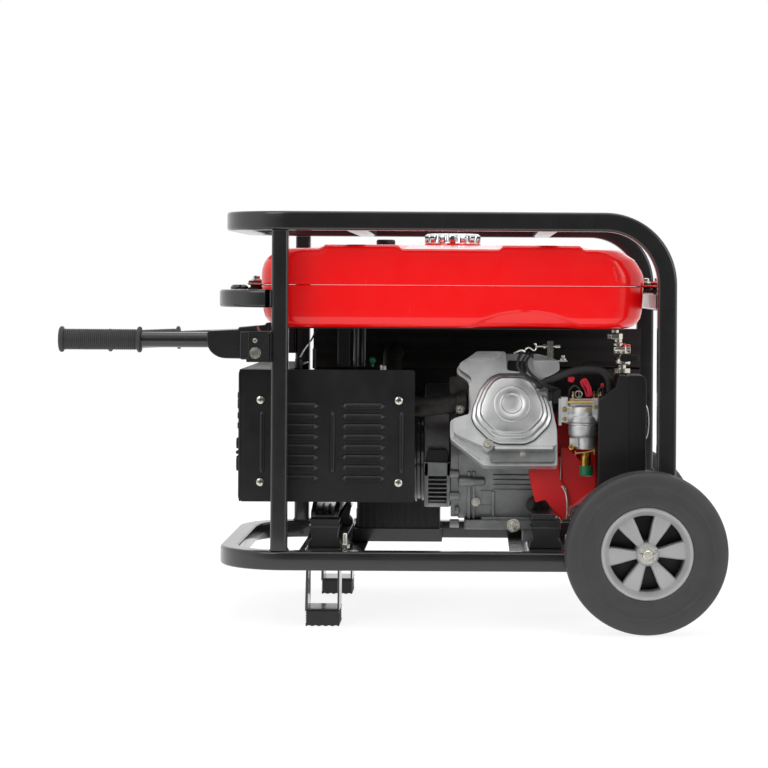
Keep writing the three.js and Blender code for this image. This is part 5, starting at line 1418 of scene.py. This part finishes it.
for x0, x1, top in ((-14, -8.5, 236), (-5.5, -1, 236), (26, 31, 204), (120, 125, 240)):
    rib = [(wall(z) + off, z) for z, off in ((CASE_LOW, -4), (top, -4), (top, 6), (CASE_LOW, 6))]
    case.append(extruded("X", rib, x0, x1))
for z in (206, 214, 222, 230):
    case.append(brick((28, wall(z) - 3.6, z - 1.3), (126, wall(z) + 4, z + 1.3)))
case.append(brick((8, wall(178) - 3, 178), (30, wall(178) + 6, 180.5)))
case.append(brick((8, wall(203) - 3, 202), (30, wall(203) + 6, 204.5)))
case.append(turned("X", [(0, -29), (6, -29), (8.2, -26), (8.2, -4), (6.6, 0), (6.6, 12), (5.4, 15),
                         (0, 15)], (0, wall(220) - 5, 220), 32))
case.append(turned("X", [(0, -34), (6, -34), (7, -32), (7, -27), (0, -26)], (0, CASE_FRONT - 2, 172), 28))
case.append(brick((76, -102, 121.5), (105, -82, 143)))
for z in (150, 196, 232):
    case.append(rod("X", 7, CASE_LEFT - 1.5, CASE_LEFT + 14, (0, wall(z) - 1, z), 28))
fitted("sand_grey_crankcase", case, blasted_cast, hides="crankcase", edge=1.3, crease=40)
count("crankcase")

# %% Mount arms, bolts and filler
arms = [brick((90, -185, 165.6), (128, -88, 175.4)), brick((90, 100, 165.6), (128, 185, 175.4))]
fitted("engine_mount_arms", arms, powder_coat, edge=1.5)
drain = flange_bolt((61.8, -108, 149), "Y", 14, 5, -1) + flange_bolt((0, wall(186) - 4, 186), "Y", 9, 3.5,
    -1)
drain += flange_bolt((127, -112, 163), "Y", 11, 5, -1)
fitted("drain_bolt_and_case_bolts", drain, zinc, edge=0.4)
dip_stick = [turned("Y", [(0, -18), (5, -18), (7, -17), (13, -16), (13.6, -12), (11, -10), (11, 0),
                          (0, 0)], (96, CASE_FRONT, 182), 40)]
fitted("oil_filler_plug", dip_stick, abs_black, edge=0.5)
count("arms, bolts and filler")

# %% [markdown]
# The blower housing is red enamelled sheet. A drum surrounds the flywheel and a skirt wraps forward over
# the casting to send its air across the fins. The stop lead and its clip cross the skirt.

# %% Blower housing
drum = [(118, 133.4), (118, 199), (116.5, 204), (108, 212.6), (80, 213), (78, 212), (78, 210.2),
        (107, 209.8), (114, 203), (115.4, 198), (115.4, 133.4)]
skirt_left = softened([(84.7, 239.4), (134.8, 252.9), (137.5, 226), (141.8, 214.7), (148.9, 200.6),
                       (150.8, 179.6), (148.3, 161), (139, 160),
                       (112.3, 192.9), (96.5, 187.6)], 2, 3)
skirt_right = softened([(138, 279.3), (152.2, 274.1), (194.7, 230.4), (194.8, 211), (152.8, 180.5),
                        (149.4, 199), (142, 214)], 2, 3)
shells = [turned("X", drum, (0, SHAFT_Y, SHAFT_Z), 96, loop=True), extruded("Y", skirt_left, -127, -125),
          extruded("Y", skirt_right, -121.5, -119.5),
          brick((133.5, -120.5, 226), (140, -82, 262))]
fitted("red_blower_housing", shells, shroud_enamel, hides="fan_shroud", edge=0.8, crease=38)
lead = [(139, -130, 276), (138.5, -131, 268), (137.9, -131, 252), (137.2, -131, 226)]
fitted("stop_lead_on_skirt", [hose(lead, 1.0, 8, 6)], turned_steel, edge=0)
strap = [(140.4, -129, 216), (146, -129.6, 206), (148.6, -129.6, 192), (148.8, -129.6, 176),
         (147.6, -129, 163)]
fitted("skirt_edge_clip", [swept(rounded(-2, 2, -0.8, 0.8, 0.4, 2), eased(strap, 8), up=(0, 1, 0))], zinc,
       edge=0)
tray_lip = softened([(153.4, 177.7), (176, 188.4), (160, 162), (153.5, 157)], 2, 2)
fitted("blower_lower_baffle", [extruded("Y", tray_lip, -114, -112)], zinc, edge=0.4)

count("blower housing")

# %% [markdown]
# The recoil starter closes the drum: a pressed dish with raised vanes between its air slots, bolted on
# through three standoffs. The grip of its cord is one moulding, narrower at its back.

# %% Recoil starter
VANES, SCREW_CIRCLE = 18, 98
recoil = [(0, 257), (60, 257), (66, 256), (84, 246), (91.4, 224), (92, 213.4), (86, 213.4), (79, 238),
          (62, 250.5), (0, 250.5)]
shells = [turned("X", recoil, (0, SHAFT_Y, SHAFT_Z), 96)]
for k in range(VANES):  # the raised vanes between the air slots, left out where the cord comes out
    a = 2 * math.pi * k / VANES
    if 1.2 < a < 1.95:
        continue
    sides = []
    for turns in ((-0.05, -0.03, 0, 0), (0.09, 0.05, 0.03, 0.05)):
        corners = zip((26, 62, 62, 26), (257, 257, 258.6, 258.6), turns)
        sides.append([Vector((x, SHAFT_Y + r * math.cos(a + t), SHAFT_Z + r * math.sin(a + t))) for r, x,
                      t in corners])
    shells.append(bridged(sides))
fitted("recoil_starter_cover", shells, powder_coat, hides="recoil_housing", edge=0.5)
recoil_screws = []
for k in range(3):
    a = math.radians(150 + 120 * k)
    y, z = SHAFT_Y + SCREW_CIRCLE * math.cos(a), SHAFT_Z + SCREW_CIRCLE * math.sin(a)
    recoil_screws += flange_bolt((226, y, z), "X", 9, 4)
    recoil_screws.append(brick((213.2, y - 9, z - 9), (226, y + 9, z + 9)))
fitted("recoil_cover_bolts", recoil_screws, zinc, edge=0.8)
grip_outline = softened([(-26, -5), (-20, -8), (20, -8), (26, -5), (26, 5), (20, 8), (6, 8), (-6, 8),
                         (-20, 8), (-26, 5)], 2, 3)
rings = []
for x, by in ((260, 0.86), (262, 1), (270, 1), (273, 0.94), (274, 0.8)):
    rings.append([Vector((x, SHAFT_Y + a * by, SHAFT_Z + 52 + b * by)) for a, b in grip_outline])
grip = [bridged(rings), turned("X", [(0, 253), (6, 253), (4, 260), (0, 260)], (0, SHAFT_Y, SHAFT_Z + 52),
                               24)]
fitted("starter_pull_grip", grip, rubber, "starter_grip", hides="recoil_grip", edge=0.6)
count("recoil starter")

# %% [markdown]
# ## Alternator and turning group
#
# The stator is a stack of laminations in a ribbed frame. The bell that joins it to the engine is a
# casting with a flat window of slats for the cooling air, and a black cap above. The crankshaft, rotor
# and flywheel turn as one.

# %% Alternator frame
RIBS, RIB_STEP = 16, 10.4
stator = [(0, -284), (60, -284), (74, -283), (84, -278), (95, -270), (95, -262)]
for k in range(RIBS):
    x = -258 + RIB_STEP * k
    stator += [(95, x), (96.5, x + 1), (96.5, x + 3.6), (95, x + 4.6), (92.5, x + 5.2), (92.5, x + 9.6)]
stator += [(95, -90), (95, -86.2), (75, -86.2), (75, -258), (15.5, -258), (15.5, -270), (0, -270)]
shells = [turned("X", stator, (0, SHAFT_Y, SHAFT_Z), 96)]
feet = softened([(-183, 165.6), (183, 165.6), (183, 176), (95, 210), (-45, 210), (-183, 176)], 3, 2)
for x0, x1 in ((-263, -256), (-226, -219)):
    shells.append(extruded("X", feet, x0, x1))
shells.append(extruded("X", softened([(-183, 165.6), (183, 165.6), (183, 172), (-183, 172)], 3, 1), -263,
                       -219))
fitted("ribbed_alternator_frame", shells, powder_coat, hides="alternator_stator", edge=0.5)

# %% Slatted bell
SLATS, SLAT_PITCH = 7, 6.9
bell = [(99, -85.7), (104, -84), (104, -44), (101, -41.3), (16, -41.3), (16, -49), (88, -50), (92, -54),
        (92, -85.7)]
shells = [turned("X", bell, (0, SHAFT_Y, SHAFT_Z), 96, loop=True)]
shells += [brick((-84.2, -95, 178), (-77.5, -76, 249.2)), brick((-47.6, -95, 184), (-41.4, -76, 249.2)),
           brick((-84.2, -95, 227.5), (-41.4, -76, 249.2))]
for k in range(SLATS):  # each tilted down to shed rain, the lowest three shorter
    z = 222.4 - SLAT_PITCH * k
    taper = 1.6 * max(0, k - 4) ** 1.5
    slat = [(-94 + taper, z - 2.2), (-94 + taper, z - 0.2), (-84, z + 2.2), (-84, z + 0.4)]
    shells.append(extruded("X", slat, -78 + taper, -47 - taper))
shells.append(extruded("X", softened([(-92, 184), (-80, 184), (-80, 176), (-88, 176)], 2, 2), -81, -46))
fitted("slatted_adapter_bell", shells, blasted_cast, hides="alternator_adapter", edge=0.8)
fitted("bell_window_shadow", [brick((-78, -83.5, 180), (-47, -81.5, 228))], abs_black, edge=0.3)
cap_outline = softened([(-81, 249.4), (-45, 249.4), (-45, 262), (-48, 271), (-78, 271), (-81, 262)], 2, 2)
fitted("bell_cable_cap", [extruded("Y", cap_outline, -92, -62)], rubber, edge=1.4)

# %% Shaft, rotor and flywheel
BLADES, BLADE_LENGTH = 20, Vector((16, 0, 0))
rotor = [(0, -264), (14, -264), (14, -250), (40, -249), (68, -247), (70, -244), (70, -102), (68, -99),
         (40, -98), (14, -97), (14, 150.8),
         (96, 151), (100, 154), (100, 174), (96, 177), (60, 177), (56, 180), (30, 181), (14, 182),
         (14, 205), (0, 205)]
shells = [turned("X", rotor, (0, SHAFT_Y, SHAFT_Z), 80)]
for k in range(BLADES):  # curved blower vanes
    rings = []
    for r, sweep in ((54, 0), (66, 0.06), (78, 0.14), (90, 0.24), (97, 0.32)):
        a = 2 * math.pi * k / BLADES + sweep
        out, side_way = Vector((0, math.cos(a), math.sin(a))), Vector((0, -math.sin(a), math.cos(a)))
        foot = Vector((176, SHAFT_Y, SHAFT_Z)) + out * r
        tip = foot + BLADE_LENGTH
        rings.append([foot - side_way * 1.1, foot + side_way * 1.1, tip + side_way * 0.9,
                      tip - side_way * 0.9])
    shells.append(bridged(rings))
fitted("shaft_rotor_and_flywheel", shells, scaled_iron, "crank", hides="crankshaft_rotor_and_flywheel",
       edge=0.5)
count("alternator and turning group")

# %% [markdown]
# ## Carburettor and its controls
#
# The float carburettor is a zinc die casting with a drawn bowl below. A bright link rod runs along its
# top, a brass drain screw stands at the bowl, and a solenoid in a green cover hangs underneath to cut the
# fuel off. A plain black plate stands behind it, in front of the blower housing there.

# %% Carburettor
CARB_Y = -158

carb = bricks(((150, -170, 322), (192, -140, 350)), ((150, -172, 348), (190, -146, 359)),
              ((136.4, -178, 321.5), (146.4, -142, 361.5)),
             ((132.4, -172, 316), (137, -130, 359)), ((186, -176, 336), (195.6, -142, 360)))
carb += [turned("Z", [(0, 346), (21.6, 346), (22.4, 345), (22.4, 331), (23.8, 330), (23.8, 321), (0, 321)],
                (171.5, CARB_Y, 0), 56),
         turned("X", [(0, 142), (17, 142), (17, 194.6), (15, 194.7), (0, 194.7)], (0, CARB_Y, 335), 48),
         turned("Z", [(0, 320), (23.4, 320), (23.4, 317), (22.4, 316.4), (22.4, 315), (23.2, 314.4),
                      (23, 302), (21, 298.4), (18, 296.6),
                      (0, 296)], (171.5, CARB_Y, 0), 56),
         turned("Z", [(0, 297), (16.4, 297), (16.4, 279), (15, 277.4), (0, 277)], (176, CARB_Y, 0), 40),
         rod("Y", 5, -4, 10, (155, -170, 287), 24),
         brick((150, -172, 282), (164, -158, 296))]
fitted("float_carburettor", carb, die_cast, hides="carburettor", edge=0.9, crease=40)

# %% Screws, link, drain and solenoid
small = []
for x, y, z, across, out in ((177, -180.2, 341, 4.4, -1), (141.5, -178, 342.3, 5.6, -1),
                             (141.5, -178, 327, 4.4, -1),
                             (190.6, -176, 346, 4, -1)):
    small += flange_bolt((x, y, z), "Y", across, across * 0.45, out)
for x, y in ((155, -166), (166, -150), (190, -150), (196.5, -168), (200, -160)):
    small.append(turned("Z", [(0, 357), (2.4, 357), (2.4, 364), (1.7, 365), (1.7, 370), (0, 370.6)],
                        (x, y, 0), 16))
fitted("carburettor_screws", small, yellow_zinc, edge=0.2)
link = [turned("X", [(0, 146.4), (2.9, 147), (2.9, 186.6), (0, 187.2)], (0, -181, 354), 20),
        swept(rounded(-5, 5, -0.7, 0.7, 0.4, 2), [Vector((159, -170, 271.8)), Vector((175, -170, 273.4)),
                                                  Vector((191, -170, 276.4))], up=(0, 0, 1)),
        brick((188.6, -172.5, 270), (190.6, -167, 279)), brick((158.6, -172.5, 268.6), (160.6, -167, 275))]
fitted("carburettor_link_and_bracket", link, yellow_zinc, edge=0.3)
drain = [turned("Y", [(1.6, 0), (4.4, 0), (4.4, -4), (1.6, -4.6)], (152.6, -174, 281.5), 28, loop=True),
         rod("Y", 3, 2, -2, (152.6, -174, 281.5), 20),
         turned("Z", [(0, 250), (8.2, 250), (8.2, 267), (7.4, 269), (7.4, 272), (0, 272)],
                (176.6, CARB_Y, 0), 40)]
fitted("brass_drain_and_solenoid", drain, brass, edge=0.3)
cover = turned("Z", [(0, 233.6), (7, 233.8), (10, 235.6), (11, 239), (11, 250.6), (8.2, 250.8),
                     (0, 250.8)], (177.5, CARB_Y, 0), 40)
fitted("solenoid_cover", [cover], nylon_green, edge=0)
spring = [(164 + 5.5 * math.cos(a), -172 + 0.6 * a, 366 + 5.5 * math.sin(a))
          for a in [0.5 * k for k in range(48)]]
fitted("throttle_return_spring", [hose(spring, 0.9, 8, 2)], turned_steel, edge=0)
tangle = [hose([(193, -172, 360), (195, -176, 372), (201, -176, 378), (203, -172, 366), (198, -168, 360)],
               1.5, 10, 6),
          hose([(148, -165, 362), (150, -172, 374), (158, -174, 380), (166, -172, 374)], 1.6, 10, 6)]
fitted("control_links", tangle, scaled_iron, edge=0)

# %% Choke, caps, back plate and boot
paddle = softened([(165.4, 385.6), (170, 390.6), (176.3, 392.4), (180, 386), (184.8, 375.6), (186, 366),
                   (183, 361.6), (176, 361.6),
                   (173.4, 372)], 1.5, 4)
choke = [extruded("Y", paddle, -164, -159.4), extruded("Y", shrunk(paddle, 4), -166, -163),
         rod("Y", 4, -13, -2, (184, -145, 366), 20)]
fitted("choke_lever_red", choke, nylon_red, "choke", hides="choke_lever", edge=1.0)
dabs = [softened([(145.9, 393.9), (158.5, 394), (156.1, 384), (147.6, 385.4)], 1.5, 4),
        softened([(199.5, 384), (205, 384), (205.6, 375.7), (200, 375)], 1.5, 3)]
fitted("throttle_stop_caps", [extruded("Y", d, -162, -154) for d in dabs], nylon_red, edge=0.8)
back_plate = softened([(126, 332), (214, 332), (214, 385), (205, 396), (126, 396)], 3, 4)
fitted("black_plate_behind_carburettor", [extruded("Y", back_plate, -99, -97)], abs_black, edge=0.5)
boot = [extruded("Y", softened([(121.5, 374), (136.8, 374), (136.8, 350), (121.5, 350)], 2, 2), -150, -132),
        turned("X", [(0, 116), (14, 116), (14, 122), (12, 124), (0, 124)], (0, -141, 362), 32)]
fitted("intake_boot", boot, rubber, edge=1.2)
count("carburettor")

# %% [markdown]
# ## Governor gear, wires and hoses
#
# Above the rocker cover stand the governor's bracket and its adjusting screw. The hoses are held at both
# ends, so they take the curve their length leaves them: the breather arches over the carburettor into the
# air cleaner.

# %% Governor bracket
bracket = softened([(90.8, 419.4), (132.6, 418.6), (133.4, 404), (122, 397), (110.4, 392), (101, 393.2),
                    (94, 402)], 2, 3)
shells = [extruded("Y", bracket, -167, -165)]
shells.append(brick((91, -168, 418), (146, -150, 420.2)))
shells.append(extruded("Y", softened([(92, 419), (92, 430.4), (100, 429.6), (116, 425.7), (132, 419)], 2,
                                     2), -153, -151.4))
fitted("governor_bracket", shells, pressed_aluminium, edge=0.6)
gear = [rod("X", 1.9, 95, 134, (0, -160, 442.6), 18),
        brick((113.5, -166, 422), (116, -154, 451)), brick((116, -166, 424), (123.4, -164, 451)),
        rod("X", 3.6, 126, 134.4, (0, -160, 442.6), 24),
        hex_nut((107, -160, 442.6), "X", 7, 5), turned("Z", [(0, 418), (5, 418), (5, 423), (3, 424),
            (3, 428), (0, 428)], (139, -160, 0), 24),
        hose([(78, -160, 437), (84, -160, 440.4), (91.7, -160, 436), (95.9, -160, 439.6), (95, -160, 446),
              (92.4, -160, 446.6)], 1.7, 10, 6),
        hose([(60, -168, 431), (70, -166, 436), (78, -164, 434)], 2.2, 10, 5)]
fitted("governor_screw_and_hook", gear, zinc, edge=0.3)
count("governor")

# %% Wires and hoses
wires = [hose([(74, -160, 436), (68, -176, 424), (66, -184, 410), (78, -190, 396), (98, -186, 383.5),
               (118, -170, 377), (126, -150, 372)], 2.3, 12, 8),
         hose([(90, -160, 430), (80, -176, 419), (84, -186, 403), (104, -186, 385), (120, -172, 378),
               (130, -152, 374)], 2.3, 12, 8),
         hose([(84, -158, 433), (74, -172, 419), (74, -182, 404), (90, -184, 390), (110, -176, 380),
               (124, -150, 368)], 1.6, 12, 8)]
fitted("engine_wires", wires, rubber, edge=0)
breather = [(100, -158, 379), (110.6, -162, 384.6), (132.6, -164, 394.4), (156.2, -164, 403.2),
            (181.5, -164, 406.6), (201, -163, 403),
            (211.5, -162, 391), (214, -160, 376), (214, -160, 362)]
fitted("breather_hose_arched", [hose(breather, 6.2, 24, 8)], rubber, hides="breather_hose", edge=0)
fuel_path = filleted([(236, -124, 412), (236, -88, 412), (170, -88, 412), (170, -88, 338),
                      (170, -141, 338)], 14, 10)
fitted("fuel_hose_and_bends", [swept(circle(4.1, 20), fuel_path)], rubber, hides="fuel_hose", edge=0)
clips = [collar("Y", 4.2, 6, 0, 5, (236, -118, 412), 24),
         collar("Y", 4.2, 6, 0, 5, (170, -136, 338), 24)]
fitted("hose_clips", clips, zinc, edge=0.3)
count("wires and hoses")

# %% [markdown]
# ## Air cleaner and fuel valve
#
# The air cleaner is a black moulded box with a sloping shoulder; a crease down its face marks the lid,
# and a wire clip snaps over the far edge. The fuel valve hangs from the tank by a union nut.

# %% Air cleaner
body_outline = softened([(194.8, 198), (242, 198), (242, 397.6), (227.6, 397.6), (224.6, 392),
                         (222.6, 379), (194.8, 359)], 2.5, 3)
lid_outline = softened([(240, 198), (270.6, 198), (270.6, 389), (266, 397.8), (240, 397.8)], 2.5, 3)
shells = [extruded("Y", body_outline, -200, -101), extruded("Y", lid_outline, -197.4, -103)]
for z in (230, 262, 294, 326):  # moulded stiffeners on the far side
    shells.append(brick((250, -104, z - 2), (268, -101.4, z + 2)))
fitted("moulded_air_cleaner", shells, abs_black, hides="air_cleaner", edge=2.6, crease=40)
clip = [(270.4, -150, 352), (274.6, -150, 345), (276.6, -150, 336), (277.6, -150, 322), (276.6, -150, 306),
        (274.4, -150, 297), (270.4, -150, 292)]
fitted("air_cleaner_wire_clip", [hose(clip, 1.5, 10, 8)], turned_steel, edge=0)
knob = turned("X", [(0, 270), (12, 270), (12, 273), (8, 275), (8, 282), (11, 283), (11, 286), (9, 287.4),
                    (0, 287.4)], (0, -150, 236), 40)
fitted("air_cleaner_knob", [knob], abs_black, edge=0.6)
count("air cleaner")

# %% Fuel valve
valve = [rod("Z", 6, 471, 464, (224, -130, 0), 28), hex_nut((224, -130, 453.4), "Z", 22, 10.2),
         turned("Z", [(0, 454), (6.4, 454), (6.4, 449), (8.4, 447), (8.4, 431), (0, 430)], (229, -130, 0),
                32),
         turned("X", [(0, 222), (8, 222), (9, 224), (9, 240), (7.6, 242), (7.6, 248.6), (0, 249.4)],
                (0, -130, 438), 32),
         turned("Z", [(0, 431), (5, 431), (5, 424), (11.6, 423.4), (12.6, 421), (12.6, 414.6), (11, 412.6),
                      (0, 412)], (236.4, -130, 0), 40),
         turned("Z", [(0, 413), (7, 413), (7, 407), (13.8, 406.4), (13.8, 399), (12, 398), (0, 398)],
                (235, -130, 0), 40),
         turned("Y", [(0, -15), (7.6, -15), (8, -13.6), (8, 0), (0, 0)], (238, -130, 424), 32),
         rod("Y", 4, 0, 12, (236, -128, 412), 24)]
fitted("fuel_valve_body", valve, zinc, hides="fuel_valve", edge=0.5)
lever = softened([(232, 418.6), (240, 417.4), (261, 420), (262.6, 424), (261, 428), (240, 430.8),
                  (232, 429.6)], 1.5, 3)
fitted("fuel_valve_turn_lever", [extruded("Y", lever, -149.2, -145.2)], abs_black, "fuel_lever",
       hides="fuel_valve_lever", edge=1)
count("fuel valve")

# %% [markdown]
# ## Exhaust
#
# The pipe leaves the head in a thick flange and bends round to the muffler, black with heat. The muffler
# is two pressed shells seamed together, with an outlet and a screen. A shield with swaged lines keeps its
# heat off the tank.

# %% Exhaust pipe
pipe_path = filleted([(-14, -127, 350), (-100, -118, 340), (-140, -60, 372), (-140, -16, 424),
                      (-140, 125.6, 424)], 30, 12)
shells = [swept(circle(15.6, 36), pipe_path), turned("X", [(0, -32), (19, -32), (19, -26), (21, -24),
                                                           (21, -16), (0, -16)], (0, -126, 348), 40)]
shells.append(extruded("Y", softened([(-44, 391), (-30, 392), (-14, 378), (-12, 326), (-26, 324),
                                      (-30, 352), (-44, 366)], 3, 3), -124, -112))
fitted("exhaust_pipe_and_flange", shells, scaled_iron, hides="exhaust_pipe", edge=1.2)
fitted("exhaust_flange_bolt", flange_bolt((-26, -146, 339.1), "Y", 9, 5, -1), zinc, edge=0.4)

# %% Muffler
M_LEFT, M_RIGHT, M_FRONT, M_BACK, M_LOW, M_HIGH = -282, 60, 126.3, 213, 332, 464
GROOVE = 2.2
rings = []
end = ((0, 14), (2, 7), (6, 2.5), (14, 0))
stations = [(M_LEFT + in_from, by) for in_from, by in end]
for x in (-200, -125, -25):
    stations += [(x - 5, 0), (x, GROOVE), (x + 5, 0)]
stations += [(M_RIGHT - in_from, by) for in_from, by in reversed(end)]
for x, by in stations:
    rings.append([Vector((x, a, b)) for a, b in rounded(M_FRONT + by, M_BACK - by, M_LOW + by, M_HIGH - by,
                                                        26, 8)])
shells = [bridged(rings)]
seam = rounded(M_LEFT - 1, M_RIGHT + 1, M_LOW - 4, M_HIGH + 0.5, 18, 6)
shells.append(extruded("Y", seam, 168.6, 171.4))
shells.append(turned("X", [(11.6, 4), (14, 4), (14, -22), (15.4, -22.6), (15.4, -24), (11.6, -24)],
                     (M_LEFT, 169.6, 372), 40, loop=True))
shells += bricks(((5, 112.4, 232), (45, 116.3, 349)), ((5, 112.4, 346), (45, 160, 350)))
fitted("seamed_muffler", shells, muffler_coat, hides="muffler", edge=0.6)
mesh_disc = rod("X", 11.8, -18, -17, (M_LEFT, 169.6, 372), 32)
fitted("spark_screen", [mesh_disc], scaled_iron, edge=0)

# %% Heat shield
shield = []
swaged = [(121.8, 396), (121.8, 466), (119.8, 466)]
for z in (446, 424):
    swaged += [(119.8, z + 8), (118.4, z + 5), (118.4, z - 5), (119.8, z - 8)]
swaged += [(119.8, 396)]
shield.append(extruded("X", swaged, M_LEFT, 283))
shield.append(brick((58, 119.8, 356), (283, 121.8, 400)))  # the skirt behind the carburettor
for x in (M_LEFT + 20, M_RIGHT - 20):
    shield.append(rod("Y", 8, 121, 125.6, (x, 0, 430), 24))
fitted("swaged_heat_shield", shield, muffler_coat, hides="heat_shield", edge=0.5)
count("exhaust")

# %% [markdown]
# Between the control box and the tank stand a cable riser, two plugs and the bare ground cable, which
# leaves its sleeve and curves up under the tank.

# %% Riser, plugs and ground cable
hangers = [brick((-229, -60, 404.4), (-209, -56, 470)), rod("Z", 5, 404.4, 470, (-198, -58, 0), 24),
           rod("Z", 3.4, 404.4, 470, (-186, -56, 0), 24)]
fitted("cable_riser_and_strap", hangers, powder_coat, edge=0.8)
fitted("terminal_plug_green", [turned("Y", [(0, 0), (5.4, 0), (5.6, -2), (4, -5), (0, -6)],
                                      (-171.4, -60, 415), 28),
                                       rod("Z", 2.4, 404.4, 415, (-171.4, -58, 0), 16)], nylon_green,
       edge=0.3)
fitted("terminal_plug_white", bricks(((-159, -62, 399), (-155, -52, 407)),
                                     ((-153.6, -62, 399), (-149, -52, 406))), nylon_white, edge=0.8)
cable = [(-286, -150, 404), (-285, -150, 416), (-283, -150, 423), (-276, -149, 436), (-267, -146, 449),
         (-262, -130, 462), (-262, -110, 470)]
fitted("ground_cable", [hose(cable, 1.5, 10, 8)], turned_steel, edge=0)
fitted("cable_sleeves", [turned("Z", [(0, 404), (6, 404), (6.4, 406), (6.4, 419), (4, 422), (0, 422)],
                                (-286, -150, 0), 28),
                                 turned("Z", [(0, 404), (3, 404), (3, 436), (0, 437)], (-262, -140, 0),
                                        20)], abs_black, edge=0.5)
count("riser, plugs and cable")

# %% [markdown]
# ## Battery
#
# A moulded case with a lid line, vent caps and two lead posts, in a fenced tray under the rear side of
# the engine.

# %% Battery and tray
B_LEFT, B_RIGHT, B_FRONT, B_BACK, B_LOW = -206, -62, 134, 214, 98
case_rings = []
for z, by in ((B_LOW, 1.5), (B_LOW + 1.5, 0), (176, 0), (176.6, -0.8), (179, -0.8), (179.6, 0.6),
              (197, 0.6), (199.4, 1.6), (200, 3.4)):
    plan = rounded(B_LEFT + by, B_RIGHT - by, B_FRONT + by, B_BACK - by, 6, 5)
    case_rings.append([Vector((x, y, z)) for x, y in plan])
shells = [bridged(case_rings)]
for k in range(11):  # ribs on the front wall
    x = B_LEFT + 12 + 12 * k
    shells.append(brick((x - 1.6, B_FRONT - 1.2, 106), (x + 1.6, B_FRONT + 2, 170)))
for k in range(6):  # vent caps
    shells.append(turned("Z", [(0, 199), (6, 199), (6, 201.6), (5, 203), (0, 203)],
                         (B_LEFT + 32 + 16 * k, 186, 0), 28))
fitted("moulded_battery_case", shells, abs_black, hides="battery", edge=0.6)
posts = [turned("Z", [(0, 199), (7.6, 199), (7.6, 201), (6, 202), (5.4, 209), (0, 209)], (x, 150, 0), 32)
         for x in (-188, -80)]
fitted("lead_battery_posts", posts, turned_steel, edge=0.3)
tray = bricks(((-210, 130, 94.7), (-58, 224.6, 97.7)), ((-210, 130, 96), (-58, 132.4, 117.6)),
              ((-210, 222, 96), (-58, 224.6, 117.6)))
fitted("folded_battery_tray", tray, powder_coat, hides="battery_tray", edge=0.8)
count("battery")
